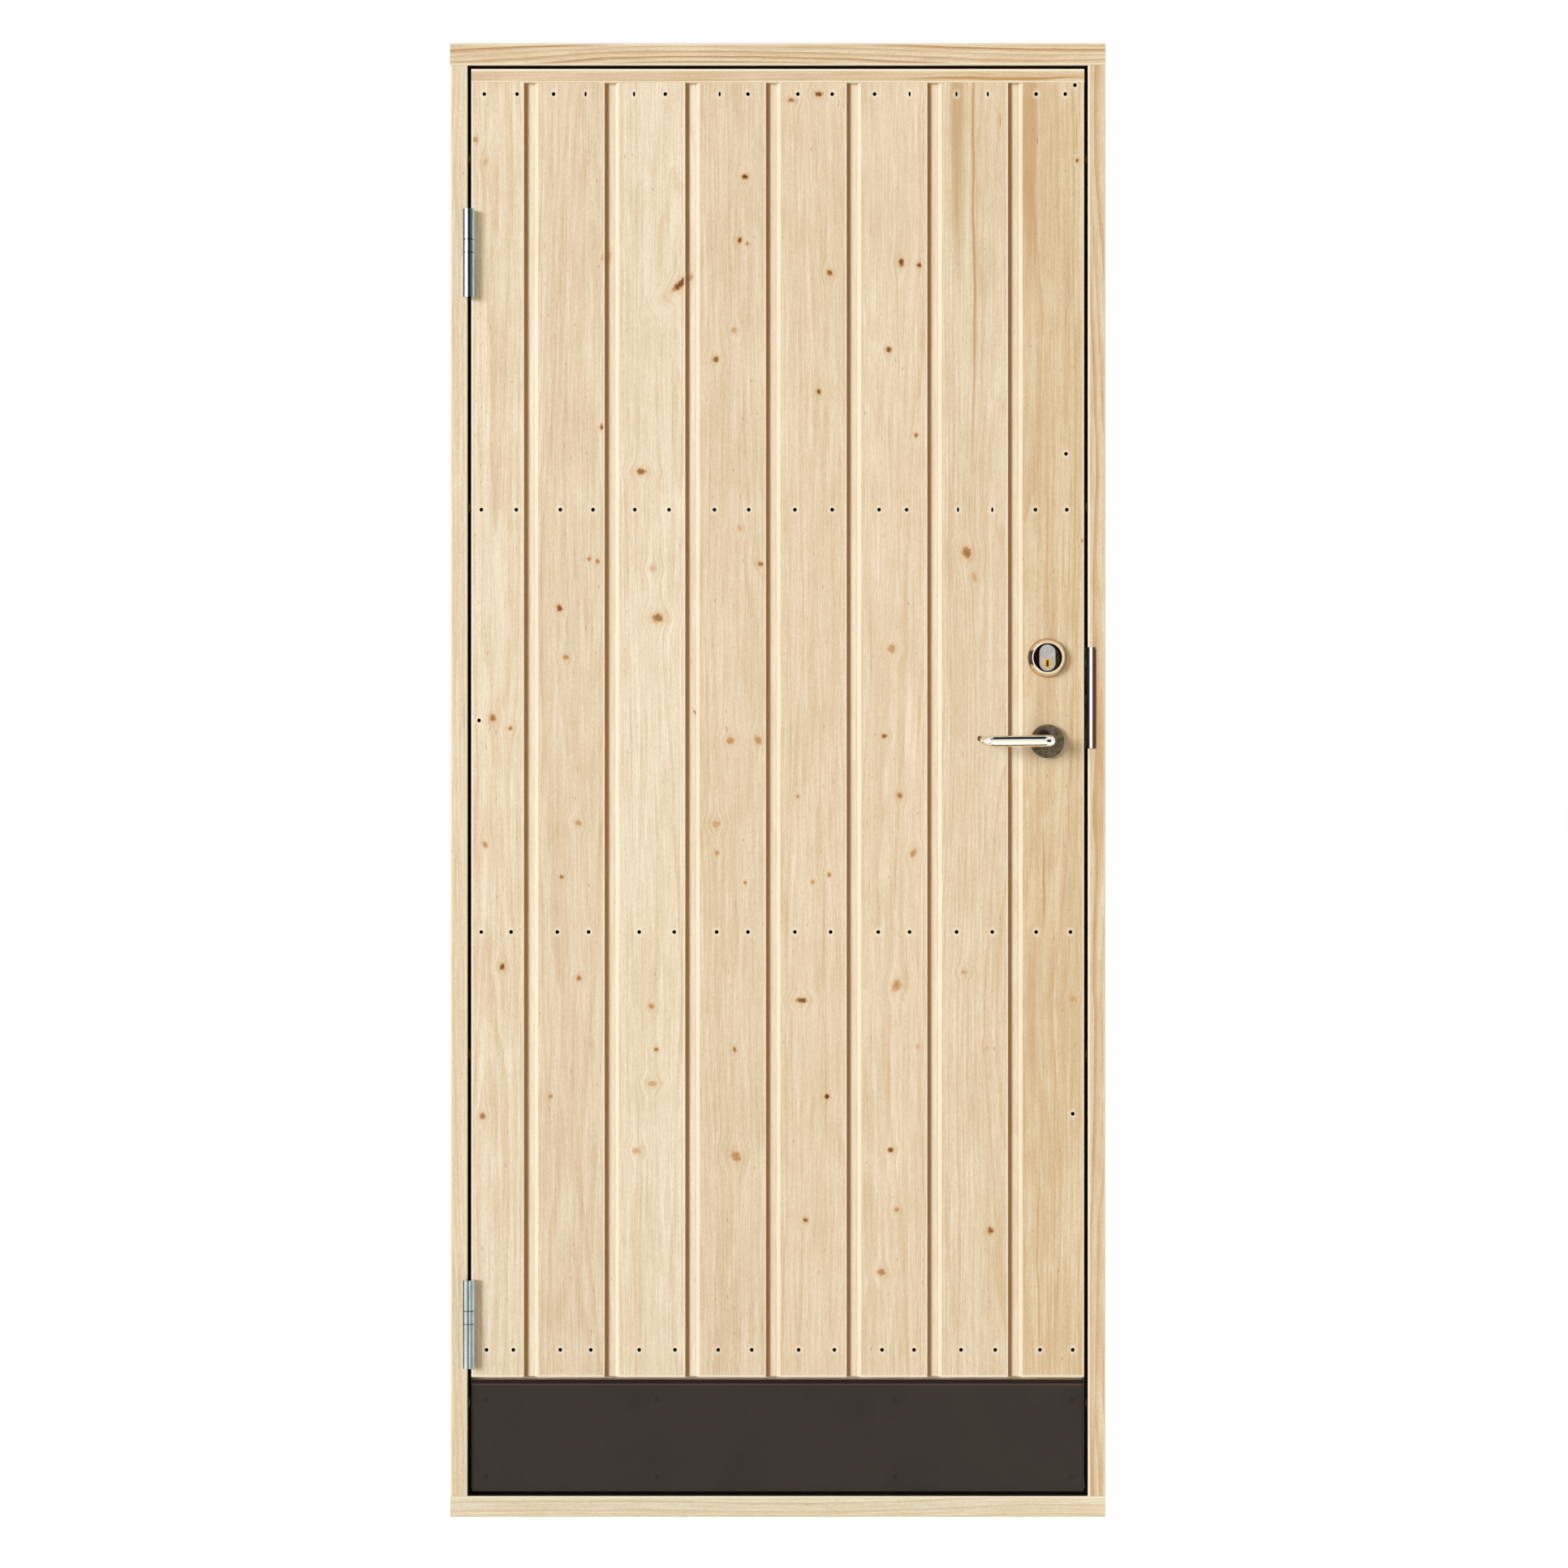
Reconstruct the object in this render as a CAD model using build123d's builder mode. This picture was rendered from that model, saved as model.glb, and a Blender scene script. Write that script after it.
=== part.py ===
"""A plank storage door in its wooden frame, in millimetres.

Seen from outside, +X points right, +Y goes into the building and +Z points up. The origin is at
the middle of the threshold's underside. The leaf opens outwards on two lift-off hinges on its left.
"""

import os
from math import atan2, cos, sin

from build123d import *

# Frame
frame_width = 880.0
frame_height = 1980.0
frame_depth = 92.0
jamb_face = 23.5
head_face = 30.5
threshold_face = 28.5
stop_width = 18.5
arris = 2.0
frame_screw_radius = 7.0
frame_screw_inset = 31.0
frame_screw_end = 120.0
frame_screw_inner_spacing = 740.0

# Leaf
leaf_gap = 5.0
board_thickness = 20.0
framing_thickness = 28.0
lock_edge_bevel = 2.2
first_board_face = 71.0
last_board_width = 88.0
board_count = 8
shoulder_width = 14.0
shoulder_depth = 7.0
board_bevel_width = 5.0
board_bevel_depth = 5.5
board_arris = 1.2
tongue_thickness = 5.0
tongue_length = 6.0
tongue_depth = 9.5
tongue_play = 0.2
strip_height = 18.0
strip_proud = 1.0
stile_width = 95.0
rail_width = 95.0
bottom_rail_width = 225.0
bottom_nail_row = 191.5
top_nail_row = 37.5

# Kick plate
kick_plate_height = 150.0
kick_plate_thickness = 1.5
kick_plate_step = 8.0
drip_gap = 5.0

# Seal
seal_space = 5.0
seal_width = 10.0
seal_clearance = 1.0

# Lift-off hinges
lower_hinge_from_bottom = 168.5
upper_hinge_from_top = 189.5
barrel_radius = 7.5
hinge_offset = 9.0
frame_knuckle_length = 59.5
collar_length = 17.5
leaf_knuckle_length = 40.7
knuckle_play = 0.3
pin_radius = 4.5
pin_running_clearance = 0.05
pin_end_cover = 6.0
flag_thickness = 2.5
flag_depth = 30.0

# Lock case and bolts
backset = 50.0
lever_height = 1042.0
cylinder_rise = 112.0
latch_rise = 35.0
deadbolt_rise = 82.0
lock_line_depth = 32.0
case_thickness = 15.0
case_end_margin = 34.0
case_back_margin = 22.0
case_play = 0.2
forend_width = 20.0
forend_end_margin = 27.5
forend_thickness = 3.0
bolt_thickness = 11.0
latch_length = 28.0
deadbolt_length = 34.0
bolt_depth_in_case = 24.0
bolt_play = 0.4

# Strike plate
strike_length = 136.0
strike_thickness = 2.2
strike_lip = 9.0
strike_depth = 48.0
strike_hole_play = 2.0
bolt_throw = 17.0

# Lock cylinder
ring_radius = 26.25
ring_mouth_width = 3.2
ring_bore_radius = 19.4
ring_height = 12.0
ring_rim = 2.5
cylinder_face_width = 21.4
cylinder_face_height = 35.3
cylinder_face_recess = 4.0
plug_radius = 7.0
plug_drop = 7.5
plug_length = 12.0
key_slot_width = 2.4
key_slot_height = 9.0
key_slot_depth = 9.0

# Lever handles
rose_radius = 22.5
rose_height = 9.0
lever_radius = 8.75
lever_running_clearance = 0.05
lever_projection = 50.0
lever_reach = 86.0
lever_rise = 5.0
lever_return = 22.0
neck_seat_depth = 2.0
spindle_size = 8.0
spindle_reach = 10.0
spindle_hole_radius = 11.0
follower_clearance = 0.6

# Thumb-turn
turn_rose_radius = 26.0
turn_rose_height = 8.0
turn_shaft_radius = 5.0
turn_height = 34.0
turn_thickness = 9.0
turn_projection = 20.0
turn_edge = 2.0

# Places worked out from the sizes above
front = -frame_depth / 2
back = frame_depth / 2
frame_left = -frame_width / 2
frame_right = frame_width / 2
jamb_bottom = threshold_face
jamb_top = frame_height - head_face
opening_left = frame_left + jamb_face
opening_right = frame_right - jamb_face

leaf_left = opening_left + leaf_gap
leaf_right = opening_right - leaf_gap
leaf_bottom = jamb_bottom + leaf_gap
leaf_top = jamb_top - leaf_gap
leaf_back = front + board_thickness + framing_thickness
board_back = front + board_thickness
boards_top = leaf_top - strip_height
boards_bottom = leaf_bottom + kick_plate_height + drip_gap
stop_front = leaf_back + seal_space

hinge_x = leaf_left - leaf_gap / 2
hinge_y = front - hinge_offset
hinge_length = frame_knuckle_length + collar_length + knuckle_play + leaf_knuckle_length
hinge_bottoms = {
    "lower": leaf_bottom + lower_hinge_from_bottom,
    "upper": leaf_top - upper_hinge_from_top - hinge_length,
}

lock_x = leaf_right - backset
lock_y = front + lock_line_depth
case_front = lock_y - case_thickness / 2
case_back = lock_y + case_thickness / 2
cylinder_height = lever_height + cylinder_rise
latch_height = lever_height + latch_rise
deadbolt_height = lever_height + deadbolt_rise
case_middle = (lever_height + cylinder_height) / 2
case_height = cylinder_rise + 2 * case_end_margin
forend_length = case_height + 2 * forend_end_margin
bevel_angle = atan2(lock_edge_bevel, leaf_back - front)

board_cover = (
    leaf_right - leaf_left - first_board_face - shoulder_width - last_board_width
) / (board_count - 2)


def lock_edge_x(y):
    """The leaf's lock edge leans in towards its back, so that it clears the jamb as it swings."""
    return leaf_right - lock_edge_bevel * (y - front) / (leaf_back - front)


def block(low, high, mode=Mode.ADD):
    """A block between two corners."""
    with Locations(low):
        Box(
            high[0] - low[0],
            high[1] - low[1],
            high[2] - low[2],
            align=(Align.MIN, Align.MIN, Align.MIN),
            mode=mode,
        )


def upright(points, bottom, top, mode=Mode.ADD):
    """A prism that stands from bottom to top on an outline in plan."""
    with BuildSketch(Plane.XY.offset(bottom)) as outline:
        with BuildLine():
            Polyline(*points, close=True)
        make_face()
    extrude(outline.sketch, amount=top - bottom, mode=mode)


def turned(points, x, z, mode=Mode.ADD):
    """A body turned about a line along Y, from an outline of radius and Y."""
    with BuildSketch(Plane.XY.offset(z)) as profile:
        with BuildLine():
            Polyline(*[(x + radius, y) for radius, y in points], close=True)
        make_face()
    revolve(profile.sketch, axis=Axis((x, 0, z), (0, 1, 0)), mode=mode)


def bore(x, z, radius, y_start, y_end, mode=Mode.SUBTRACT):
    """A round bore or boss along Y."""
    turned([(0, y_start), (radius, y_start), (radius, y_end), (0, y_end)], x, z, mode)


def finish(piece, name):
    """Labels a piece and writes it."""
    piece.part.label = name
    export_step(piece.part, f"parts/{name}.step")


os.makedirs("parts", exist_ok=True)

# Jambs, with through holes for the frame screws behind the leaf's edge
frame_screw_middle = (jamb_bottom + jamb_top) / 2
frame_screw_outer_spacing = jamb_top - jamb_bottom - 2 * frame_screw_end
frame_screw_places = [
    (front + frame_screw_inset, frame_screw_middle + side * spacing / 2)
    for spacing in (frame_screw_outer_spacing, frame_screw_inner_spacing)
    for side in (-1, 1)
]


def frame_screw_holes(jamb_left):
    """Cuts the frame screws' holes through a jamb."""
    with BuildSketch(Plane.YZ.offset(jamb_left)) as holes:
        with Locations(*frame_screw_places):
            Circle(frame_screw_radius)
    extrude(holes.sketch, amount=jamb_face, mode=Mode.SUBTRACT)


def long_front_arrises(piece):
    """Rounds the long upright edges of a jamb's outer face."""
    fillet(piece.edges().filter_by(Axis.Z).group_by(Axis.Y)[0], arris)


with BuildPart() as jamb_hinge:
    block((frame_left, front, jamb_bottom), (opening_left, back, jamb_top))
    long_front_arrises(jamb_hinge)
    frame_screw_holes(frame_left)
    for hinge_bottom in hinge_bottoms.values():
        block(
            (opening_left - flag_thickness, front, hinge_bottom),
            (opening_left, front + flag_depth, hinge_bottom + frame_knuckle_length),
            Mode.SUBTRACT,
        )

strike_middle = (latch_height + deadbolt_height) / 2
strike_holes = [
    (latch_height, latch_length),
    (deadbolt_height, deadbolt_length),
]


def strike_hole_blocks(x_start, x_end):
    """Cuts the two holes that the latch and the deadbolt enter."""
    for height, length in strike_holes:
        half_width = bolt_thickness / 2 + strike_hole_play
        half_height = length / 2 + strike_hole_play
        block(
            (x_start, lock_y - half_width, height - half_height),
            (x_end, lock_y + half_width, height + half_height),
            Mode.SUBTRACT,
        )


with BuildPart() as jamb_lock:
    block((opening_right, front, jamb_bottom), (frame_right, back, jamb_top))
    long_front_arrises(jamb_lock)
    frame_screw_holes(opening_right)
    block(
        (opening_right, front, strike_middle - strike_length / 2),
        (opening_right + strike_thickness, front + strike_depth, strike_middle + strike_length / 2),
        Mode.SUBTRACT,
    )
    strike_hole_blocks(opening_right, opening_right + strike_thickness + bolt_throw)

# Head over the jambs and threshold under them
with BuildPart() as head:
    block((frame_left, front, jamb_top), (frame_right, back, frame_height))
    fillet(head.edges().filter_by(Axis.X).group_by(Axis.Y)[0], arris)

with BuildPart() as threshold:
    block((frame_left, front, 0), (frame_right, back, threshold_face))
    fillet(threshold.edges().filter_by(Axis.X).group_by(Axis.Y)[0], arris)

# Stops planted on the frame behind the leaf
stop_bottom = threshold_face + stop_width
stop_top = jamb_top - stop_width

with BuildPart() as stop_hinge:
    block((opening_left, stop_front, stop_bottom), (opening_left + stop_width, back, stop_top))

with BuildPart() as stop_lock:
    block((opening_right - stop_width, stop_front, stop_bottom), (opening_right, back, stop_top))

with BuildPart() as stop_head:
    block((opening_left, stop_front, stop_top), (opening_right, back, jamb_top))

with BuildPart() as stop_threshold:
    block((opening_left, stop_front, threshold_face), (opening_right, back, stop_bottom))

# Rubber seal on the stops' faces, up one side, across and down the other
seal_edge = (stop_width - leaf_gap - seal_width) / 2
seal_left = opening_left + leaf_gap + seal_edge
seal_right = opening_right - leaf_gap - seal_edge
seal_top = jamb_top - leaf_gap - seal_edge

with BuildPart() as frame_seal:
    block(
        (seal_left, leaf_back + seal_clearance, stop_bottom),
        (seal_right, stop_front, seal_top),
    )
    block(
        (seal_left + seal_width, leaf_back + seal_clearance, stop_bottom),
        (seal_right - seal_width, stop_front, seal_top - seal_width),
        Mode.SUBTRACT,
    )

# Strike plate, flush in the jamb's rebate and wrapped round its outer arris
with BuildPart() as strike_plate:
    upright(
        [
            (opening_right, front - strike_thickness),
            (opening_right + strike_lip, front - strike_thickness),
            (opening_right + strike_lip, front),
            (opening_right + strike_thickness, front),
            (opening_right + strike_thickness, front + strike_depth),
            (opening_right, front + strike_depth),
        ],
        strike_middle - strike_length / 2,
        strike_middle + strike_length / 2,
    )
    outer_bend = strike_plate.edges().filter_by(Axis.Z).group_by(Axis.Y)[0].sort_by(Axis.X)[0]
    fillet(outer_bend, strike_thickness * 0.9)
    strike_hole_blocks(opening_right, opening_right + strike_thickness)

# Boards, each with a tongue and a low shoulder on its right and a groove and a bevel on its left
boards = []
for number in range(board_count):
    is_first = number == 0
    is_last = number == board_count - 1
    right_arris = leaf_left + first_board_face + number * board_cover
    right_joint = right_arris + shoulder_width
    left_joint = right_joint - board_cover
    tongue_front = front + tongue_depth
    tongue_back = tongue_front + tongue_thickness
    if is_first:
        outline = [(leaf_left, board_back), (leaf_left, front)]
    else:
        outline = [
            (left_joint, board_back),
            (left_joint, tongue_back + tongue_play),
            (left_joint + tongue_length, tongue_back + tongue_play),
            (left_joint + tongue_length, tongue_front - tongue_play),
            (left_joint, tongue_front - tongue_play),
            (left_joint, front + board_bevel_depth),
            (left_joint + board_bevel_width, front),
        ]
    if is_last:
        outline += [(leaf_right, front), (lock_edge_x(board_back), board_back)]
    else:
        shoulder_end = right_joint - tongue_play
        outline += [
            (right_arris, front),
            (right_arris, front + shoulder_depth),
            (shoulder_end, front + shoulder_depth),
            (shoulder_end, tongue_front),
            (right_joint + tongue_length - tongue_play, tongue_front),
            (right_joint + tongue_length - tongue_play, tongue_back),
            (shoulder_end, tongue_back),
            (shoulder_end, board_back),
        ]
    with BuildPart() as board:
        upright(outline, boards_bottom, boards_top)
        front_edges = board.edges().filter_by(Axis.Z).group_by(Axis.Y)[0].sort_by(Axis.X)
        if is_first:
            fillet(front_edges, board_arris)
        else:
            fillet(front_edges[-1], board_arris)
        if is_first:
            for hinge_bottom in hinge_bottoms.values():
                leaf_knuckle_bottom = hinge_bottom + frame_knuckle_length + collar_length + knuckle_play
                block(
                    (leaf_left, front, leaf_knuckle_bottom),
                    (leaf_left + flag_thickness, board_back, leaf_knuckle_bottom + leaf_knuckle_length),
                    Mode.SUBTRACT,
                )
        if is_last:
            bore(lock_x, cylinder_height, ring_bore_radius, front, board_back)
            bore(lock_x, lever_height, spindle_hole_radius, front, board_back)
    boards.append(board)

with BuildPart() as top_strip:
    upright(
        [
            (leaf_left, front - strip_proud),
            (leaf_right, front - strip_proud),
            (leaf_right, front),
            (lock_edge_x(board_back), board_back),
            (leaf_left, board_back),
        ],
        boards_top,
        leaf_top,
    )

# Framing behind the boards
with BuildPart() as stile_hinge:
    block((leaf_left, board_back, leaf_bottom), (leaf_left + stile_width, leaf_back, leaf_top))
    for hinge_bottom in hinge_bottoms.values():
        leaf_knuckle_bottom = hinge_bottom + frame_knuckle_length + collar_length + knuckle_play
        block(
            (leaf_left, board_back, leaf_knuckle_bottom),
            (
                leaf_left + flag_thickness,
                front + flag_depth,
                leaf_knuckle_bottom + leaf_knuckle_length,
            ),
            Mode.SUBTRACT,
        )

forend_plane = Plane(
    origin=(lock_edge_x(lock_y), lock_y, case_middle),
    x_dir=(-sin(bevel_angle), cos(bevel_angle), 0),
    z_dir=(cos(bevel_angle), sin(bevel_angle), 0),
)
forend_end_radius = forend_width / 2 - 0.1
case_left = lock_x - case_back_margin
case_right = lock_edge_x(lock_y + case_thickness / 2) - forend_thickness - case_play

with BuildPart() as stile_lock:
    upright(
        [
            (leaf_right - stile_width, board_back),
            (lock_edge_x(board_back), board_back),
            (lock_edge_x(leaf_back), leaf_back),
            (leaf_right - stile_width, leaf_back),
        ],
        leaf_bottom,
        leaf_top,
    )
    block(
        (case_left, case_front, case_middle - case_height / 2),
        (leaf_right, case_back, case_middle + case_height / 2),
        Mode.SUBTRACT,
    )
    with BuildSketch(forend_plane):
        RectangleRounded(forend_width, forend_length, forend_end_radius)
    extrude(amount=-forend_thickness, mode=Mode.SUBTRACT)
    bore(lock_x, cylinder_height, ring_bore_radius, board_back, case_front)
    bore(lock_x, cylinder_height, turn_shaft_radius, case_back, leaf_back)
    bore(lock_x, lever_height, spindle_hole_radius, board_back, leaf_back)


# The four rows of nails are evenly spaced, and each middle rail lies behind one
nail_row_spacing = (leaf_top - top_nail_row - leaf_bottom - bottom_nail_row) / 3
lower_nail_row = leaf_bottom + bottom_nail_row + nail_row_spacing
upper_nail_row = lower_nail_row + nail_row_spacing


def rail(bottom, top):
    """A rail between the stiles."""
    block(
        (leaf_left + stile_width, board_back, bottom),
        (leaf_right - stile_width, leaf_back, top),
    )


with BuildPart() as rail_top:
    rail(leaf_top - rail_width, leaf_top)

with BuildPart() as rail_upper:
    rail(upper_nail_row - rail_width / 2, upper_nail_row + rail_width / 2)

with BuildPart() as rail_lower:
    rail(lower_nail_row - rail_width / 2, lower_nail_row + rail_width / 2)

with BuildPart() as rail_bottom:
    rail(leaf_bottom, leaf_bottom + bottom_rail_width)

# Kick plate and the thin board behind it, set back from the boards' face
plate_front = front + kick_plate_step
plate_back = plate_front + kick_plate_thickness

with BuildPart() as kick_board:
    upright(
        [
            (leaf_left, plate_back),
            (lock_edge_x(plate_back), plate_back),
            (lock_edge_x(board_back), board_back),
            (leaf_left, board_back),
        ],
        leaf_bottom,
        leaf_bottom + kick_plate_height,
    )

with BuildPart() as kick_plate:
    upright(
        [
            (leaf_left, plate_front),
            (lock_edge_x(plate_front), plate_front),
            (lock_edge_x(plate_back), plate_back),
            (leaf_left, plate_back),
        ],
        leaf_bottom,
        leaf_bottom + kick_plate_height,
    )

# Lift-off hinges: the pin stands in the frame's knuckle and the leaf's knuckle drops over it
frame_halves = {}
leaf_halves = {}
for place, hinge_bottom in hinge_bottoms.items():
    frame_knuckle_top = hinge_bottom + frame_knuckle_length
    leaf_knuckle_bottom = frame_knuckle_top + collar_length + knuckle_play
    leaf_knuckle_top = leaf_knuckle_bottom + leaf_knuckle_length
    pin_top = leaf_knuckle_top - pin_end_cover
    with BuildPart() as frame_half:
        with BuildSketch(Plane.XY.offset(hinge_bottom)):
            with Locations((hinge_x, hinge_y)):
                Circle(barrel_radius)
        extrude(amount=frame_knuckle_length)
        block(
            (opening_left - flag_thickness, hinge_y, hinge_bottom),
            (opening_left, front + flag_depth, frame_knuckle_top),
        )
        with BuildSketch(Plane.XY.offset(frame_knuckle_top)):
            with Locations((hinge_x, hinge_y)):
                Circle(pin_radius)
        extrude(amount=pin_top - frame_knuckle_top)
    with BuildPart() as leaf_half:
        with BuildSketch(Plane.XY.offset(leaf_knuckle_bottom)):
            with Locations((hinge_x, hinge_y)):
                Circle(barrel_radius)
        extrude(amount=leaf_knuckle_length)
        block(
            (leaf_left, hinge_y, leaf_knuckle_bottom),
            (leaf_left + flag_thickness, front + flag_depth, leaf_knuckle_top),
        )
        with BuildSketch(Plane.XY.offset(leaf_knuckle_bottom)):
            with Locations((hinge_x, hinge_y)):
                Circle(pin_radius + pin_running_clearance)
        extrude(amount=pin_top + knuckle_play - leaf_knuckle_bottom, mode=Mode.SUBTRACT)
    frame_halves[place] = frame_half
    leaf_halves[place] = leaf_half

with BuildPart() as hinge_collars:
    for hinge_bottom in hinge_bottoms.values():
        with BuildSketch(Plane.XY.offset(hinge_bottom + frame_knuckle_length)):
            with Locations((hinge_x, hinge_y)):
                Circle(barrel_radius)
                Circle(pin_radius, mode=Mode.SUBTRACT)
        extrude(amount=collar_length)

# Lock case in the stile, its forend in the bevelled lock edge, and its bolts drawn back
bolt_end = lock_edge_x(lock_y + bolt_thickness / 2)
bolt_start = case_right - bolt_depth_in_case


def bolt_blocks(x_start, x_end, play, mode):
    """The two bolts, or the room that they need."""
    for height, length in strike_holes:
        block(
            (x_start, lock_y - bolt_thickness / 2 - play, height - length / 2 - play),
            (x_end, lock_y + bolt_thickness / 2 + play, height + length / 2 + play),
            mode,
        )


with BuildPart() as lock_case:
    block(
        (case_left, case_front, case_middle - case_height / 2),
        (case_right, case_back, case_middle + case_height / 2),
    )
    follower_radius = spindle_size / 2**0.5 + follower_clearance
    bore(lock_x, lever_height, follower_radius, case_front, case_back)
    bolt_blocks(bolt_start, case_right, 0, Mode.SUBTRACT)

with BuildPart() as forend:
    with BuildSketch(forend_plane):
        RectangleRounded(forend_width, forend_length, forend_end_radius)
    extrude(amount=-forend_thickness)
    bolt_blocks(case_right - forend_thickness, leaf_right, bolt_play, Mode.SUBTRACT)

with BuildPart() as bolts:
    bolt_blocks(bolt_start, bolt_end, 0, Mode.ADD)

# Lock cylinder: a conical ring round an oval cylinder with a keyed plug
ring_front = front - ring_height
cylinder_front = ring_front + cylinder_face_recess
plug_height = cylinder_height - plug_drop

with BuildPart() as cylinder_ring:
    turned(
        [
            (ring_bore_radius, front),
            (ring_radius, front),
            (ring_radius, front - ring_rim),
            (ring_bore_radius + ring_mouth_width, ring_front),
            (ring_bore_radius, ring_front),
        ],
        lock_x,
        cylinder_height,
    )

with BuildPart() as lock_cylinder:
    with BuildSketch(Plane.XZ.offset(-case_front)):
        with Locations((lock_x, cylinder_height)):
            SlotOverall(cylinder_face_height, cylinder_face_width, rotation=90)
    extrude(amount=case_front - cylinder_front)
    bore(lock_x, plug_height, plug_radius, cylinder_front, cylinder_front + plug_length)

with BuildPart() as cylinder_plug:
    bore(lock_x, plug_height, plug_radius, cylinder_front, cylinder_front + plug_length, Mode.ADD)
    block(
        (lock_x - key_slot_width / 2, cylinder_front, plug_height - key_slot_height / 2),
        (
            lock_x + key_slot_width / 2,
            cylinder_front + key_slot_depth,
            plug_height + key_slot_height / 2,
        ),
        Mode.SUBTRACT,
    )

# Lever handles on their roses, the same outside and inside


def rose_part(face_y, outward):
    """A round rose on the leaf's face, with its top towards outward, -1 outside and 1 inside."""
    top_y = face_y + outward * rose_height
    hole = lever_radius + lever_running_clearance
    with BuildPart() as rose:
        turned(
            [(hole, face_y), (rose_radius, face_y), (rose_radius, top_y), (hole, top_y)],
            lock_x,
            lever_height,
        )
    return rose


def lever_part(face_y, outward):
    """A round bar with two tight round corners, which rises a little and ends towards the leaf."""
    out = Vector(0, outward, 0)
    along = Vector(-lever_reach, 0, lever_rise).normalized()
    seat = Vector(lock_x, face_y, lever_height) - out * neck_seat_depth
    first_corner = Vector(lock_x, face_y, lever_height) + out * lever_projection
    last_corner = first_corner + along * lever_reach
    end = last_corner - out * lever_return
    with BuildPart() as lever:
        for run_start, run_end in ((seat, first_corner), (first_corner, last_corner), (last_corner, end)):
            run = run_end - run_start
            with BuildSketch(Plane(origin=run_start, z_dir=run)):
                Circle(lever_radius)
            extrude(amount=run.length)
        for corner, before, after in ((first_corner, out, along), (last_corner, along, -out)):
            with Locations(Plane(origin=corner, x_dir=before, z_dir=after.cross(before))):
                Sphere(lever_radius, arc_size3=90)
        block(
            (
                lock_x - spindle_size / 2,
                min(seat.Y, face_y + outward * spindle_reach),
                lever_height - spindle_size / 2,
            ),
            (
                lock_x + spindle_size / 2,
                max(seat.Y, face_y + outward * spindle_reach),
                lever_height + spindle_size / 2,
            ),
            Mode.SUBTRACT,
        )
    return lever


rose_outside = rose_part(front, -1)
rose_inside = rose_part(leaf_back, 1)
lever_outside = lever_part(front, -1)
lever_inside = lever_part(leaf_back, 1)

with BuildPart() as spindle:
    block(
        (
            lock_x - spindle_size / 2,
            front - spindle_reach,
            lever_height - spindle_size / 2,
        ),
        (
            lock_x + spindle_size / 2,
            leaf_back + spindle_reach,
            lever_height + spindle_size / 2,
        ),
    )

# Thumb-turn inside, on the cylinder's line
turn_front = leaf_back + turn_rose_height

with BuildPart() as thumb_turn_rose:
    turned(
        [
            (turn_shaft_radius, leaf_back),
            (turn_rose_radius, leaf_back),
            (turn_rose_radius, turn_front),
            (turn_shaft_radius, turn_front),
        ],
        lock_x,
        cylinder_height,
    )

with BuildPart() as thumb_turn:
    bore(lock_x, cylinder_height, turn_shaft_radius, case_back, turn_front, Mode.ADD)
    block(
        (lock_x - turn_thickness / 2, turn_front, cylinder_height - turn_height / 2),
        (
            lock_x + turn_thickness / 2,
            turn_front + turn_projection,
            cylinder_height + turn_height / 2,
        ),
    )
    fillet(thumb_turn.faces().sort_by(Axis.Y)[-1].edges(), turn_edge)

pieces = {
    "jamb_hinge": jamb_hinge,
    "jamb_lock": jamb_lock,
    "head": head,
    "threshold": threshold,
    "stop_hinge": stop_hinge,
    "stop_lock": stop_lock,
    "stop_head": stop_head,
    "stop_threshold": stop_threshold,
    "frame_seal": frame_seal,
    "strike_plate": strike_plate,
    "hinge_collars": hinge_collars,
    "top_strip": top_strip,
    "stile_hinge": stile_hinge,
    "stile_lock": stile_lock,
    "rail_top": rail_top,
    "rail_upper": rail_upper,
    "rail_lower": rail_lower,
    "rail_bottom": rail_bottom,
    "kick_board": kick_board,
    "kick_plate": kick_plate,
    "lock_case": lock_case,
    "forend": forend,
    "bolts": bolts,
    "cylinder_ring": cylinder_ring,
    "lock_cylinder": lock_cylinder,
    "cylinder_plug": cylinder_plug,
    "rose_outside": rose_outside,
    "rose_inside": rose_inside,
    "thumb_turn_rose": thumb_turn_rose,
    "thumb_turn": thumb_turn,
    "lever_outside": lever_outside,
    "lever_inside": lever_inside,
    "spindle": spindle,
}
for place in hinge_bottoms:
    pieces[f"hinge_{place}_frame_half"] = frame_halves[place]
    pieces[f"hinge_{place}_leaf_half"] = leaf_halves[place]
for number, board in enumerate(boards, start=1):
    pieces[f"board_{number}"] = board
for name, piece in pieces.items():
    finish(piece, name)
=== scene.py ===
"""Looks of the plank storage door: wood, metals, nails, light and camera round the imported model."""

import math

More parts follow.
